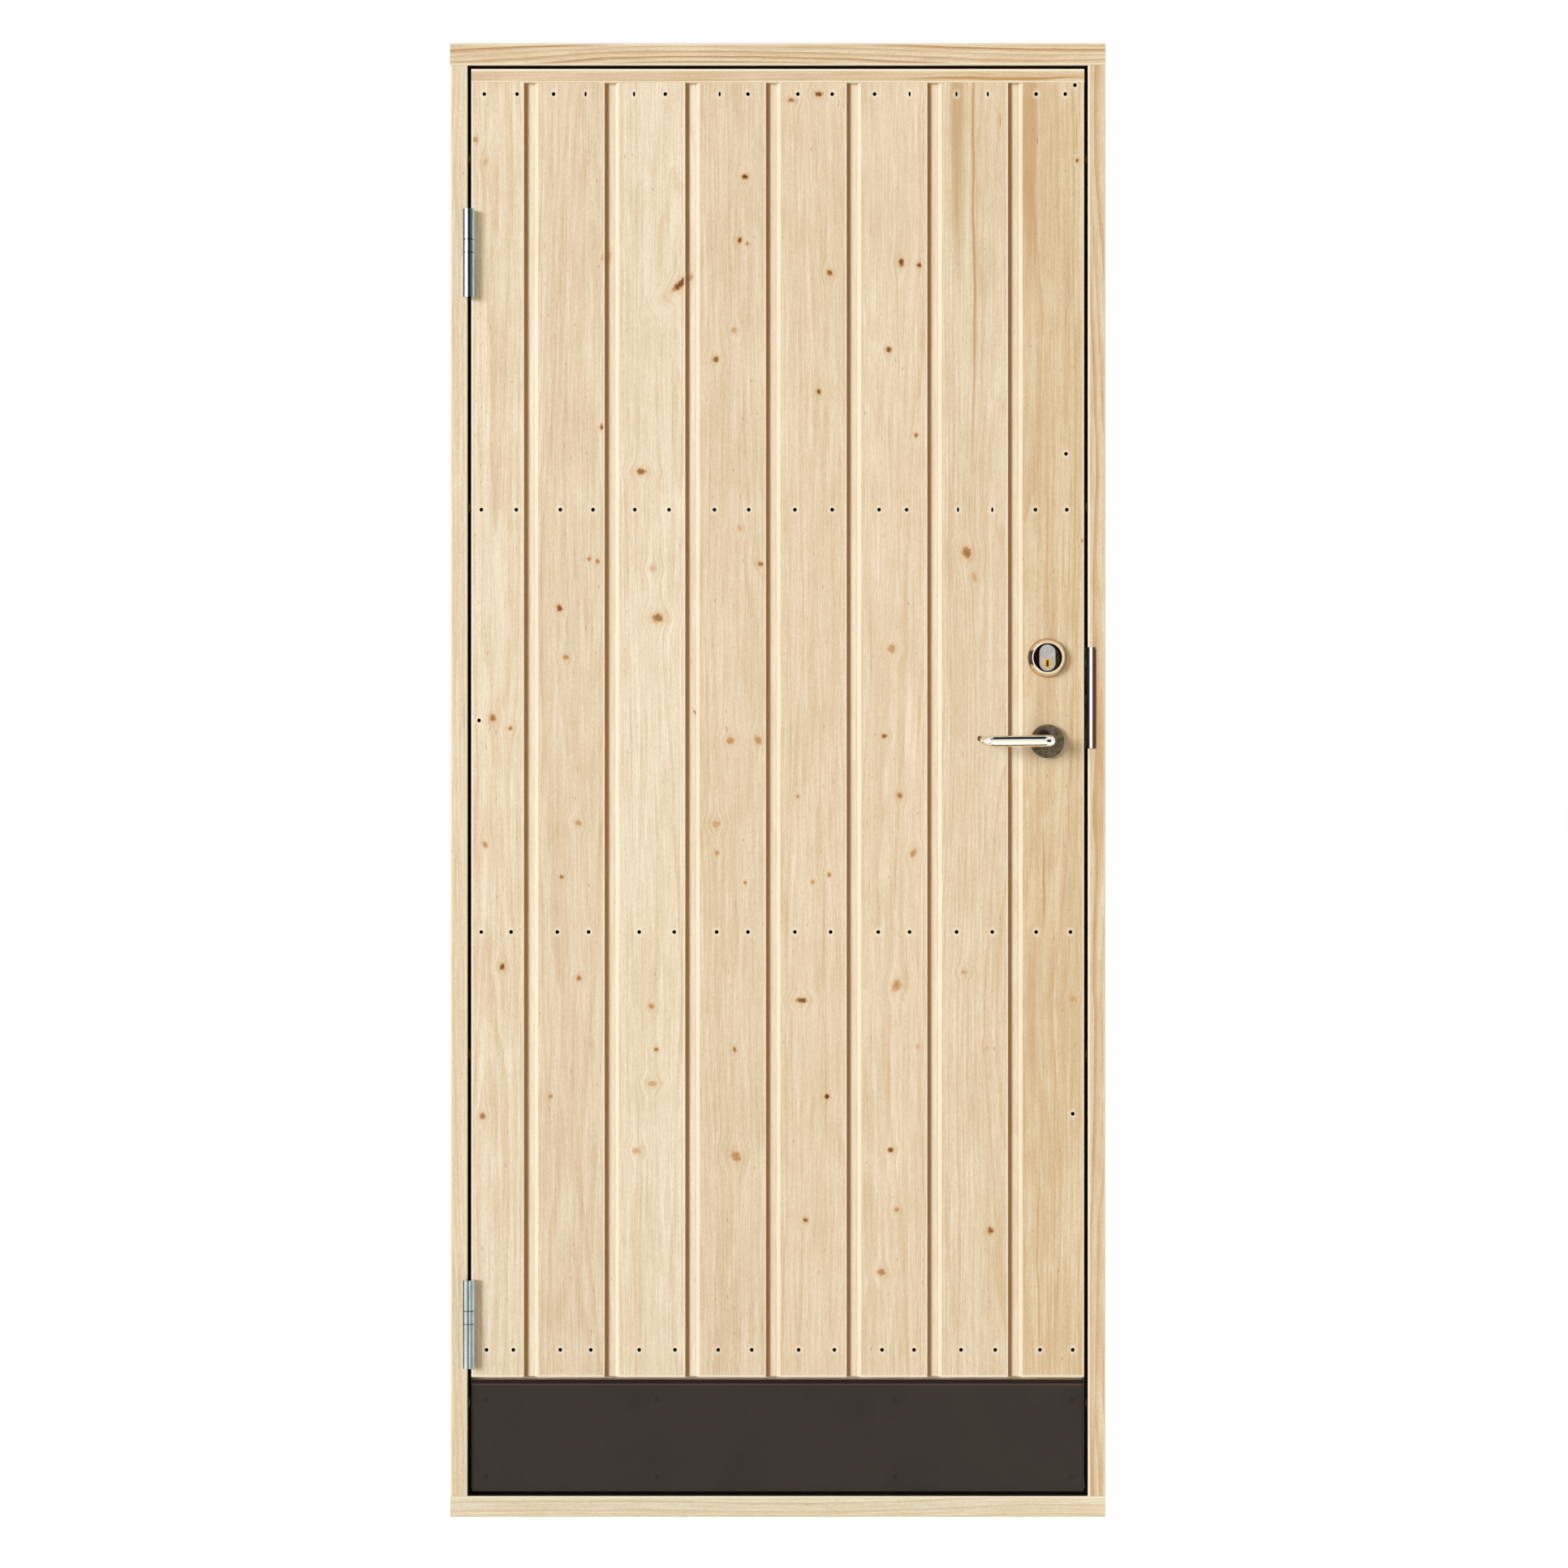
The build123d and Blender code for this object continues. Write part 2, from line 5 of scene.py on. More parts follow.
import bmesh
import bpy
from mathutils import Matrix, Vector


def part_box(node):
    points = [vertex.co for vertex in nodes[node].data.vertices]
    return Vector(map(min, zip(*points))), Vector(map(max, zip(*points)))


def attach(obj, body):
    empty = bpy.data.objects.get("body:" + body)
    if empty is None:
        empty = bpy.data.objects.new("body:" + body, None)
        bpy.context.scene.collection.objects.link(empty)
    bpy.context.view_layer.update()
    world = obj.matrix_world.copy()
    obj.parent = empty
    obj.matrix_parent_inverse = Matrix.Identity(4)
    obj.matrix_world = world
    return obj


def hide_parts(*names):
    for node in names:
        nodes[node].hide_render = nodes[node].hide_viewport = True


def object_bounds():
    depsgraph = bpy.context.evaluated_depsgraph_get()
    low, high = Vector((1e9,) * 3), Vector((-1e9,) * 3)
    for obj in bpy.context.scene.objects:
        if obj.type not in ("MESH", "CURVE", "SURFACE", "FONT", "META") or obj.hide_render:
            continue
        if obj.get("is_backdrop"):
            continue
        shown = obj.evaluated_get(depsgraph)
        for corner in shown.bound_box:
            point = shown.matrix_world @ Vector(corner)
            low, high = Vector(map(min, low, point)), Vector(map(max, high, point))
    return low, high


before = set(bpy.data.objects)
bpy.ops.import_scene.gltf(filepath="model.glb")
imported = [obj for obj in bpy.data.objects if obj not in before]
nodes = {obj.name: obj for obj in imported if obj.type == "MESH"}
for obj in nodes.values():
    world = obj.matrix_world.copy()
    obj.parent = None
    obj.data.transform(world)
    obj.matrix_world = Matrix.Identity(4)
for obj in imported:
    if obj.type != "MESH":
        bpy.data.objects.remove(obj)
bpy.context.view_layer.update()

MM = 0.001
TO_MM = (1 / MM, 1 / MM, 1 / MM)
WITHOUT_Y, WITHOUT_Z = (1.0, 0.0, 1.0), (1.0, 1.0, 0.0)
X, Y, Z = 0, 1, 2


def box_mm(name):
    """A node's lowest and highest corners in millimetres."""
    low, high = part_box(name)
    return low / MM, high / MM


# Colours and node helpers


def srgb(red, green, blue):
    """A colour given in 0 to 255 as seen on screen, as the linear values that Blender takes."""
    linear = []
    for value in (red, green, blue):
        share = value / 255
        linear.append(share / 12.92 if share <= 0.04045 else ((share + 0.055) / 1.055) ** 2.4)
    return (*linear, 1.0)


def put(tree, socket, value):
    """Links a socket or sets a plain value."""
    if isinstance(value, bpy.types.NodeSocket):
        tree.links.new(value, socket)
    elif value is not None:
        socket.default_value = value


def add(tree, kind, inputs=None, **settings):
    """A node with its settings and inputs, given by name or by number."""
    node = tree.nodes.new(kind)
    for name, value in settings.items():
        setattr(node, name, value)
    for key, value in (inputs or {}).items():
        put(tree, node.inputs[key], value)
    return node


def maths(tree, operation, first, second=None, third=None):
    node = add(tree, "ShaderNodeMath", operation=operation)
    for socket, value in zip(node.inputs, (first, second, third)):
        put(tree, socket, value)
    return node.outputs[0]


def vectors(tree, operation, first, second=None, output=0):
    node = add(tree, "ShaderNodeVectorMath", operation=operation)
    put(tree, node.inputs[0], first)
    put(tree, node.inputs[1], second)
    return node.outputs[output]


def length(tree, vector):
    return vectors(tree, "LENGTH", vector, output=1)


def split(tree, vector):
    return add(tree, "ShaderNodeSeparateXYZ", {0: vector}).outputs


def in_mm(tree):
    """The point on the surface, in millimetres of the shared frame."""
    return vectors(tree, "MULTIPLY", add(tree, "ShaderNodeTexCoord").outputs["Object"], TO_MM)


def smooth(tree, value, low, high, from_value=0.0, to_value=1.0):
    """Eases from one value to another while the input goes from low to high."""
    node = add(tree, "ShaderNodeMapRange", interpolation_type="SMOOTHSTEP")
    for key, item in zip(("Value", "From Min", "From Max", "To Min", "To Max"),
                         (value, low, high, from_value, to_value)):
        put(tree, node.inputs[key], item)
    return node.outputs["Result"]


def band(tree, value, start, full, fade, end):
    """Rises from start to full and falls again from fade to end."""
    return maths(tree, "MULTIPLY", smooth(tree, value, start, full),
                 smooth(tree, value, fade, end, 1.0, 0.0))


def blended(tree, share, first, second, mode="MIX"):
    node = add(tree, "ShaderNodeMix", data_type="RGBA", blend_type=mode, clamp_factor=True)
    put(tree, node.inputs[0], share)
    put(tree, node.inputs[6], first)
    put(tree, node.inputs[7], second)
    return node.outputs[2]


def noise(tree, place, seed, figure, output="Fac"):
    """Noise of a figure: its scale along each axis, its detail and its roughness."""
    scale, detail, roughness = figure
    stretched = vectors(tree, "MULTIPLY", place, scale)
    return add(tree, "ShaderNodeTexNoise", {"Vector": stretched, "W": seed, "Scale": 1.0, "Detail": detail,
                                            "Roughness": roughness}, noise_dimensions="4D").outputs[output]


def aside(tree, place, seed, figure, reach):
    """A vector that wanders with noise, by up to half the reach each way."""
    wander = noise(tree, place, seed, figure, "Color")
    return vectors(tree, "MULTIPLY", vectors(tree, "SUBTRACT", wander, (0.5, 0.5, 0.5)), reach)


def group(name, inputs, outputs):
    """An empty node group with its sockets, and its input and output nodes."""
    tree = bpy.data.node_groups.new(name, "ShaderNodeTree")
    for label, kind in inputs:
        tree.interface.new_socket(label, in_out="INPUT", socket_type="NodeSocket" + kind)
    for label, kind in outputs:
        tree.interface.new_socket(label, in_out="OUTPUT", socket_type="NodeSocket" + kind)
    return tree, tree.nodes.new("NodeGroupInput").outputs, tree.nodes.new("NodeGroupOutput").inputs


def use(tree, shared, inputs):
    """The outputs of a shared group that is fed with these inputs."""
    node = tree.nodes.new("ShaderNodeGroup")
    node.node_tree = shared
    for key, value in inputs.items():
        put(tree, node.inputs[key], value)
    return node.outputs


def new_material(name):
    """A material, its node tree and its shader."""
    material = bpy.data.materials.new(name)
    material.use_nodes = True
    return material, material.node_tree, material.node_tree.nodes["Principled BSDF"]


# Wood figure. Every length is in millimetres, x across the grain, y into the wood, z along it

# Noise figures: the scale along each axis, the detail and the roughness

DRIFT, DRIFT_REACH = ((0.006, 0.006, 0.0011), 1.0, 0.5), (60.0, 60.0, 0.0)
WAVER, WAVER_REACH = ((0.05, 0.05, 0.006), 2.0, 0.5), (6.0, 6.0, 0.0)
WANDER, WANDER_REACH = ((0.02, 0.02, 0.01), 2.0, 0.5), (9.0, 0.0, 0.0)
FIBRES = ((0.6, 0.6, 0.014), 3.0, 0.65)
BANDS = ((0.11, 0.11, 0.0022), 3.0, 0.65)
CLOUDS = ((0.022, 0.022, 0.01), 4.0, 0.7)
SPECKLES = ((0.75, 0.75, 0.3), 1.0, 0.5)
FLECKS, FLECK_SEED = ((0.3, 0.3, 0.09), 1.0, 0.5), 7.3
RAGGED, RAGGEDNESS = ((0.32, 0.32, 0.24), 3.0, 0.6), 1.5

# Soft steps: the span of what is read, and the values at its two ends where they aren't 0 and 1

TAN_STEP = (0.36, 0.66)
FIBRE_SHADE = (0.3, 0.7, 0.87, 1.07)
SPECKLE_SHADE = (0.25, 0.75, 0.94, 1.06)
FLECK_STEP = (0.7, 0.8, 0.0, 0.5)
CORE_STEP = (0.45, 1.4, 1.0, 0.0)
HALO_STEP = (0.7, 2.7, 1.0, 0.0)
PUSH_STEP = (0.6, 4.5, -0.75, 0.0)
MARK_STEP = (0.35, 1.0, 1.0, 0.0)
STREAK_STEP = (0.2, 0.6, 0.55, 1.0)
CORNER_STEP = (0.86, 0.97, 0.6, 0.0)
ROUGHNESS_STEP = (0.2, 0.8, 0.62, 0.5)
FRONT_STEP = (-45.5, -43.5)

# Late wood: where it starts, is full, fades and ends, as shares of a ring

LATE_WOOD = (0.25, 0.92, 0.93, 1.0)
WEAKEST_RING = 0.2
CLOUD_SHARE = 0.45
RED_FADE, BLUE_FADE = 0.75, 1.5
RIDGE = -0.4
HALO_SHARE, PALE_SHARE, STEP_SHARE = 0.55, 0.75, 0.3
WOOD_SPECULAR = 0.3
GRAIN_STRENGTH, GRAIN_DEPTH = 0.35, 0.25 * MM
NAIL_MARK = (7.5, 9.0, 0.4)
REBATE_FRONT, REBATE_BACK = -44.6, 7.0

CREAM = srgb(236, 222, 195)
TAN = srgb(224, 204, 170)
LATE = srgb(206, 166, 116)
FLECK_BROWN = srgb(176, 132, 88)
STREAK = srgb(190, 144, 82)
KNOT_HALO = srgb(214, 172, 124)
KNOT_RIM = srgb(202, 152, 96)
KNOT_WOOD = srgb(152, 94, 48)
KNOT_HEART = srgb(84, 42, 18)
KNOT_STEPS = [((0.05, 0.5, 0.0, 0.9), KNOT_RIM), ((0.38, 0.74), KNOT_WOOD), ((0.54, 0.86), KNOT_HEART)]
NAIL_HALO = srgb(247, 237, 214)
# Painted highlight for pale edges
PAINTED_EDGE_HIGHLIGHT = srgb(250, 239, 213)
STEP_FACE = srgb(250, 245, 224)
# Painted shadow for groove corners, painted shade for gaps and rebates
GROOVE_CORNER_SHADOW = srgb(186, 138, 84)
GAP_SHADE_PAINT = srgb(14, 10, 8)
REBATE_SHADE_PAINT = srgb(24, 18, 14)


def make_pine():
    tree, given, result = group(
        "pine",
        [("Place", "Vector"), ("Bow", "Float"), ("Seed", "Float"), ("Pith", "Vector"),
         ("Ring", "Float"), ("Contrast", "Float"), ("Light", "Color"), ("Tan", "Color"),
         ("Late", "Color")],
        [("Color", "Color"), ("Height", "Float"), ("Fibre", "Float")],
    )
    place, seed = given["Place"], given["Seed"]
    bowed = vectors(tree, "ADD", place, add(tree, "ShaderNodeCombineXYZ", {0: given["Bow"]}).outputs[0])
    drift = aside(tree, bowed, seed, DRIFT, DRIFT_REACH)
    waver = aside(tree, bowed, seed, WAVER, WAVER_REACH)
    moved = vectors(tree, "ADD", vectors(tree, "ADD", bowed, drift), waver)
    from_pith = vectors(tree, "MULTIPLY", vectors(tree, "SUBTRACT", moved, given["Pith"]), WITHOUT_Z)
    rings = maths(tree, "DIVIDE", length(tree, from_pith), given["Ring"])
    late = band(tree, maths(tree, "FRACT", rings), *LATE_WOOD)
    strength = add(tree, "ShaderNodeTexWhiteNoise", {"W": maths(tree, "FLOOR", rings)},
                   noise_dimensions="1D").outputs["Value"]
    strength = maths(tree, "MULTIPLY_ADD", strength, 1 - WEAKEST_RING, WEAKEST_RING)
    late = maths(tree, "MULTIPLY", maths(tree, "MULTIPLY", late, strength), given["Contrast"])
    fibre = noise(tree, bowed, seed, FIBRES)
    bands = noise(tree, bowed, seed, BANDS)
    cloud = noise(tree, place, seed, CLOUDS)
    speckle = noise(tree, place, seed, SPECKLES)
    fleck = noise(tree, place, maths(tree, "ADD", seed, FLECK_SEED), FLECKS)
    tint = maths(tree, "MULTIPLY_ADD", cloud, CLOUD_SHARE, maths(tree, "MULTIPLY", bands, 1 - CLOUD_SHARE))
    color = blended(tree, smooth(tree, tint, *TAN_STEP), given["Light"], given["Tan"])
    color = blended(tree, late, color, given["Late"])
    shade = maths(tree, "MULTIPLY", smooth(tree, fibre, *FIBRE_SHADE),
                  smooth(tree, speckle, *SPECKLE_SHADE))
    tone = add(tree, "ShaderNodeCombineColor", {
        0: maths(tree, "POWER", shade, RED_FADE), 1: shade, 2: maths(tree, "POWER", shade, BLUE_FADE)})
    color = blended(tree, 1.0, color, tone.outputs[0], "MULTIPLY")
    color = blended(tree, smooth(tree, fleck, *FLECK_STEP), color, FLECK_BROWN)
    put(tree, result["Color"], color)
    put(tree, result["Height"], maths(tree, "MULTIPLY_ADD", late, RIDGE, fibre))
    put(tree, result["Fibre"], fibre)
    return tree


def make_distance():
    """How far a point is from a tilted oval's middle, 1 on its edge, looking along the y axis."""
    tree, given, result = group(
        "oval distance",
        [("Place", "Vector"), ("Middle", "Vector"), ("Size", "Vector"), ("Tilt", "Float")],
        [("Distance", "Float"), ("Across", "Float")],
    )
    away = vectors(tree, "MULTIPLY", vectors(tree, "SUBTRACT", given["Place"], given["Middle"]), WITHOUT_Y)
    turned = add(tree, "ShaderNodeVectorRotate", {"Vector": away, "Angle": given["Tilt"]},
                 rotation_type="Y_AXIS").outputs[0]
    put(tree, result["Distance"], length(tree, vectors(tree, "DIVIDE", turned, given["Size"])))
    put(tree, result["Across"], split(tree, away)[X])
    return tree


def make_knot(distance):
    """A knot's core and halo, and how far it pushes the rings aside, added to those so far."""
    tree, given, result = group(
        "knot",
        [("Place", "Vector"), ("Ragged", "Float"), ("Middle", "Vector"), ("Size", "Vector"),
         ("Tilt", "Float"), ("Depth", "Float"), ("Bow", "Float"), ("Core", "Float"), ("Halo", "Float")],
        [("Bow", "Float"), ("Core", "Float"), ("Halo", "Float")],
    )
    found = use(tree, distance, {key: given[key] for key in ("Place", "Middle", "Size", "Tilt")})
    away = maths(tree, "MULTIPLY_ADD", given["Ragged"], RAGGEDNESS, found["Distance"])
    core = maths(tree, "MULTIPLY", smooth(tree, away, *CORE_STEP), given["Depth"])
    halo = maths(tree, "MULTIPLY", smooth(tree, away, *HALO_STEP), given["Depth"])
    push = maths(tree, "MULTIPLY", found["Across"], smooth(tree, found["Distance"], *PUSH_STEP))
    put(tree, result["Bow"], maths(tree, "ADD", given["Bow"], push))
    put(tree, result["Core"], maths(tree, "MAXIMUM", given["Core"], core))
    put(tree, result["Halo"], maths(tree, "MAXIMUM", given["Halo"], halo))
    return tree


def make_mark(distance):
    """A soft oval mark, such as a streak or the crushed wood round a nail, added to the marks so far."""
    tree, given, result = group(
        "mark",
        [("Place", "Vector"), ("Middle", "Vector"), ("Size", "Vector"), ("Depth", "Float"),
         ("Marks", "Float")],
        [("Marks", "Float")],
    )
    found = use(tree, distance, {key: given[key] for key in ("Place", "Middle", "Size")})
    here = maths(tree, "MULTIPLY", smooth(tree, found["Distance"], *MARK_STEP), given["Depth"])
    put(tree, result["Marks"], maths(tree, "MAXIMUM", given["Marks"], here))
    return tree


pine = make_pine()
oval = make_distance()
knot_group = make_knot(oval)
mark_group = make_mark(oval)


def knotted(tree, place, seed, knots):
    """How far the knots push the rings aside, and the depth of their cores and halos."""
    ragged = maths(tree, "SUBTRACT", noise(tree, place, seed, RAGGED), 0.5)
    bow, core, halo = 0.0, 0.0, 0.0
    for x, z, width, height, tilt, depth in knots:
        found = use(tree, knot_group, {
            "Place": place, "Ragged": ragged, "Middle": (x, 0.0, z), "Size": (width / 2, 1.0, height / 2),
            "Tilt": math.radians(-tilt), "Depth": depth, "Bow": bow, "Core": core, "Halo": halo})
        bow, core, halo = found["Bow"], found["Core"], found["Halo"]
    return bow, core, halo


def marked(tree, place, ovals):
    """The depth of soft oval marks, each given as x, z, half width, half height and depth."""
    marks = 0.0
    for x, z, half_width, half_height, depth in ovals:
        marks = use(tree, mark_group, {
            "Place": place, "Middle": (x, 0.0, z), "Size": (half_width, 1.0, half_height),
            "Depth": depth, "Marks": marks})["Marks"]
    return marks


def wood(name, along="z", light=CREAM, tan=TAN, late=LATE, pith=(0.0, 70.0, 0.0), ring=4.2,
         contrast=0.45, seed=0.0, knots=(), streaks=(), nails=(), pale=(), shoulder=None, dark=None,
         rebate=None):
    """Pine with its own rings, and with knots, streaks and nail marks at given places.

    Pale edges, a dark face and a rebate are each given as an axis, and where they start and are full.
    The pale edges are a painted highlight, and the dark face is painted shade for a gap. A rebate is the
    face inside the frame, with painted shade between its arris and the stop. A shoulder is where the low
    step beside a board's face starts; the corner beside that step gets a painted shadow."""
    material, tree, shader = new_material(name)
    place = in_mm(tree)
    axes = split(tree, place)
    if along == "x":
        place = add(tree, "ShaderNodeCombineXYZ", {0: axes[Z], 1: axes[Y], 2: axes[X]}).outputs[0]
    bow, core, halo = knotted(tree, place, seed, knots)
    found = use(tree, pine, {"Place": place, "Bow": bow, "Seed": seed, "Pith": pith, "Ring": ring,
                             "Contrast": contrast, "Light": light, "Tan": tan, "Late": late})
    color, fibre = found["Color"], found["Fibre"]
    if streaks:
        drawn = vectors(tree, "ADD", place, aside(tree, place, seed, WANDER, WANDER_REACH))
        marks = marked(tree, drawn, [(x, (low + high) / 2, width / 2, (high - low) / 2, depth)
                                     for x, low, high, width, depth in streaks])
        marks = maths(tree, "MULTIPLY", marks, smooth(tree, fibre, *STREAK_STEP))
        color = blended(tree, marks, color, STREAK)
    if knots:
        color = blended(tree, maths(tree, "MULTIPLY", halo, HALO_SHARE), color, KNOT_HALO)
        for step, shade in KNOT_STEPS:
            color = blended(tree, smooth(tree, core, *step), color, shade)
    if nails:
        color = blended(tree, marked(tree, place, [(x, z, *NAIL_MARK) for x, z in nails]), color, NAIL_HALO)
    # Painted highlight: rounded arrises and the given pale edges are made lighter than the face
    facing = split(tree, vectors(tree, "ABSOLUTE", add(tree, "ShaderNodeTexCoord").outputs["Normal"]))
    largest = maths(tree, "MAXIMUM", maths(tree, "MAXIMUM", facing[X], facing[Y]), facing[Z])
    edge_highlight = smooth(tree, largest, *CORNER_STEP)
    for axis, start, full in pale:
        edge_highlight = maths(tree, "MAXIMUM", edge_highlight, smooth(tree, axes[axis], start, full, 0.0, PALE_SHARE))
    if shoulder is not None:
        sunk = maths(tree, "MULTIPLY", smooth(tree, axes[Y], *FRONT_STEP),
                     smooth(tree, axes[X], shoulder - 1.5, shoulder - 0.5))
        edge_highlight = maths(tree, "MULTIPLY", edge_highlight, maths(tree, "SUBTRACT", 1.0, sunk))
        color = blended(tree, maths(tree, "MULTIPLY", sunk, STEP_SHARE), color, STEP_FACE)
        # Painted shadow in the groove's corner beside the square step, where the wall shades the floor
        corner = smooth(tree, axes[X], shoulder + 3.5, shoulder + 7.0, 0.9, 0.0)
        color = blended(tree, maths(tree, "MULTIPLY", corner, sunk), color, GROOVE_CORNER_SHADOW)
    color = blended(tree, edge_highlight, color, PAINTED_EDGE_HIGHLIGHT)
    # Painted shade: the dark face stands for the shadow inside a gap
    if dark:
        axis, start, full = dark
        color = blended(tree, smooth(tree, axes[axis], start, full), color, GAP_SHADE_PAINT)
    # Painted shade inside the rebate, where the closed gap lies in shadow
    if rebate:
        axis, start, full = rebate
        inside = band(tree, axes[Y], REBATE_FRONT, REBATE_FRONT + 1.0, REBATE_BACK - 0.4, REBATE_BACK)
        inside = maths(tree, "MULTIPLY", inside, smooth(tree, axes[axis], start, full))
        color = blended(tree, inside, color, REBATE_SHADE_PAINT)
    grain = add(tree, "ShaderNodeBump", {"Height": found["Height"], "Strength": GRAIN_STRENGTH,
                                         "Distance": GRAIN_DEPTH})
    put(tree, shader.inputs["Base Color"], color)
    put(tree, shader.inputs["Roughness"], smooth(tree, fibre, *ROUGHNESS_STEP))
    put(tree, shader.inputs["Normal"], grain.outputs[0])
    shader.inputs["Specular IOR Level"].default_value = WOOD_SPECULAR
    return material


def dress(material, *names):
    for name in names:
        nodes[name].material_slots[0].material = material


# Nails, in millimetres from the middle of the door. A flat one is driven with its narrow side across

NAIL_ROWS = {
    1911: [-394, -350, -301, -258, -193, -151, -78, -40, 27, 73, 130, 177, 240, 282, 347, 386],
    1353: [-398, -351, -292, -248, -192, -146, -85, -39, 23, 73, 136, 173, 242, 288, 346, 388],
    786: [-398, -358, -296, -254, -186, -139, -82, -40, 23, 71, 135, 177, 240, 288, 347, 393],
    225: [-391, -355, -292, -251, -186, -138, -80, -35, 28, 76, 140, 183, 246, 292, 352, 396],
}
EXTRA_NAILS = [(399, 1923), (-401, 1070), (387, 1428), (396, 542)]
FLAT_NAILS = {(-258, 1911), (-193, 1911), (-78, 1911), (177, 1911), (240, 1911), (282, 1911),
              (242, 1353), (288, 1353)}
nail_places = [(x, z) for z, row in NAIL_ROWS.items() for x in row] + EXTRA_NAILS

# Knots as x, z, width, height, tilt in degrees and depth of colour

KNOTS = {
    1: [(-383, 1073, 9, 11, 20, 0.6), (-359, 1059, 7, 7, 0, 0.55), (-393, 903, 7, 9, -20, 0.5),
        (-370, 739, 8, 10, 0, 0.7), (-396, 539, 8, 10, 0, 0.6), (-406, 1850, 8, 9, 0, 0.45),
        (-392, 1820, 7, 12, 20, 0.3)],
    2: [(-230, 1693, 12, 18, 30, 0.5), (-236, 1464, 7, 9, 0, 0.65), (-253, 1287, 6, 7, 0, 0.55),
        (-242, 1284, 6, 7, 0, 0.55), (-293, 1221, 8, 10, 0, 0.7), (-284, 1155, 9, 7, 0, 0.5),
        (-268, 932, 10, 8, 20, 0.45), (-290, 860, 7, 6, 0, 0.6), (-267, 724, 7, 8, 0, 0.6),
        (-305, 565, 6, 6, 0, 0.5)],
    3: [(-111, 1081, 3, 8, -35, 1.0), (-128, 1658, 10, 38, 50, 0.7), (-183, 1404, 15, 9, 0, 0.62),
        (-161, 1208, 17, 13, 0, 0.6), (-168, 1274, 10, 9, 0, 0.3), (-170, 686, 8, 8, 0, 0.5),
        (-163, 628, 6, 6, 0, 0.6), (-168, 582, 13, 9, 0, 0.4), (-190, 492, 12, 9, 0, 0.35)],
    4: [(-44, 1800, 9, 7, 0, 0.75), (-51, 1715, 7, 8, 20, 0.7), (-41, 1710, 5, 6, 0, 0.55),
        (-59, 1594, 9, 9, 30, 0.4), (-83, 1555, 9, 9, 0, 0.65), (-51, 1328, 7, 7, 0, 0.35),
        (-23, 1280, 9, 7, 20, 0.6), (-64, 1043, 12, 10, 0, 0.5), (-26, 1043, 9, 14, -25, 0.5),
        (-83, 931, 12, 9, 0, 0.4), (-82, 892, 6, 7, 0, 0.5), (-44, 852, 5, 5, 0, 0.6),
        (-58, 628, 6, 7, 0, 0.62), (-56, 485, 14, 17, -30, 0.5)],
    5: [(55, 1911, 11, 8, 0, 0.7), (18, 1903, 11, 7, 0, 0.6), (70, 1671, 9, 9, 0, 0.65),
        (55, 1511, 7, 8, 0, 0.7), (27, 968, 5, 5, 0, 0.55), (69, 863, 6, 7, 0, 0.55),
        (47, 853, 6, 6, 0, 0.45), (32, 694, 15, 8, 0, 0.68), (66, 565, 7, 8, 0, 0.8),
        (37, 399, 7, 7, 0, 0.7)],
    6: [(166, 1685, 8, 12, 0, 0.7), (190, 1681, 7, 7, 0, 0.7), (149, 1568, 8, 8, 0, 0.68),
        (186, 1453, 6, 7, 0, 0.6), (153, 1166, 13, 12, 0, 0.45), (143, 1049, 8, 7, 0, 0.65),
        (164, 969, 8, 9, 0, 0.6), (182, 892, 8, 13, 25, 0.5), (160, 715, 13, 18, 25, 0.5),
        (188, 632, 6, 9, 0, 0.3), (151, 493, 9, 7, 0, 0.7), (160, 413, 7, 7, 0, 0.5),
        (140, 329, 13, 9, 20, 0.55)],
    7: [(254, 1295, 13, 18, -15, 0.6), (264, 1262, 7, 16, -15, 0.3), (250, 732, 9, 6, 0, 0.35),
        (281, 630, 6, 10, 0, 0.25), (286, 385, 10, 12, 0, 0.65)],
    8: [(410, 1312, 6, 8, 0, 0.65), (396, 696, 9, 8, 0, 0.35), (402, 1822, 5, 6, 0, 0.7)],
}

# Streaks as x, lowest z, highest z, width and depth of colour

STREAKS = {
    4: [(-107, 1855, 1905, 3, 0.7), (-52, 380, 480, 3, 0.2)],
    5: [(62, 660, 905, 5, 0.35), (66, 470, 640, 4, 0.4), (52, 1780, 1880, 3, 0.3)],
    6: [(160, 1500, 1670, 4, 0.25), (172, 700, 800, 4, 0.25)],
    7: [(242, 1590, 2250, 26, 0.62), (263, 1330, 2200, 5.5, 0.8), (300, 1863, 1888, 2.5, 0.9),
        (262, 1190, 1260, 5, 0.3), (250, 1290, 1420, 3, 0.25)],
    8: [(338, 1540, 2300, 30, 0.6), (357, 760, 950, 5, 0.75), (350, 130, 545, 4, 0.5),
        (402, 1822, 1888, 3, 0.6), (386, 1594, 1630, 3, 0.8), (362, 1150, 1500, 4, 0.3),
        (391, 880, 1100, 3, 0.3), (401, 860, 1300, 3, 0.25), (340, 560, 820, 18, 0.3),
        (372, 200, 700, 3, 0.25), (395, 300, 760, 3, 0.25), (383, 1100, 1450, 3, 0.2)],
}
STRIP_STREAKS = [(1929, -420, 60, 3, 0.35), (1932, 120, 470, 6, 1.0), (1938, -100, 420, 2.5, 0.35)]

# Boards as the place of the pith, the contrast and seed of the rings, and the two colours between them

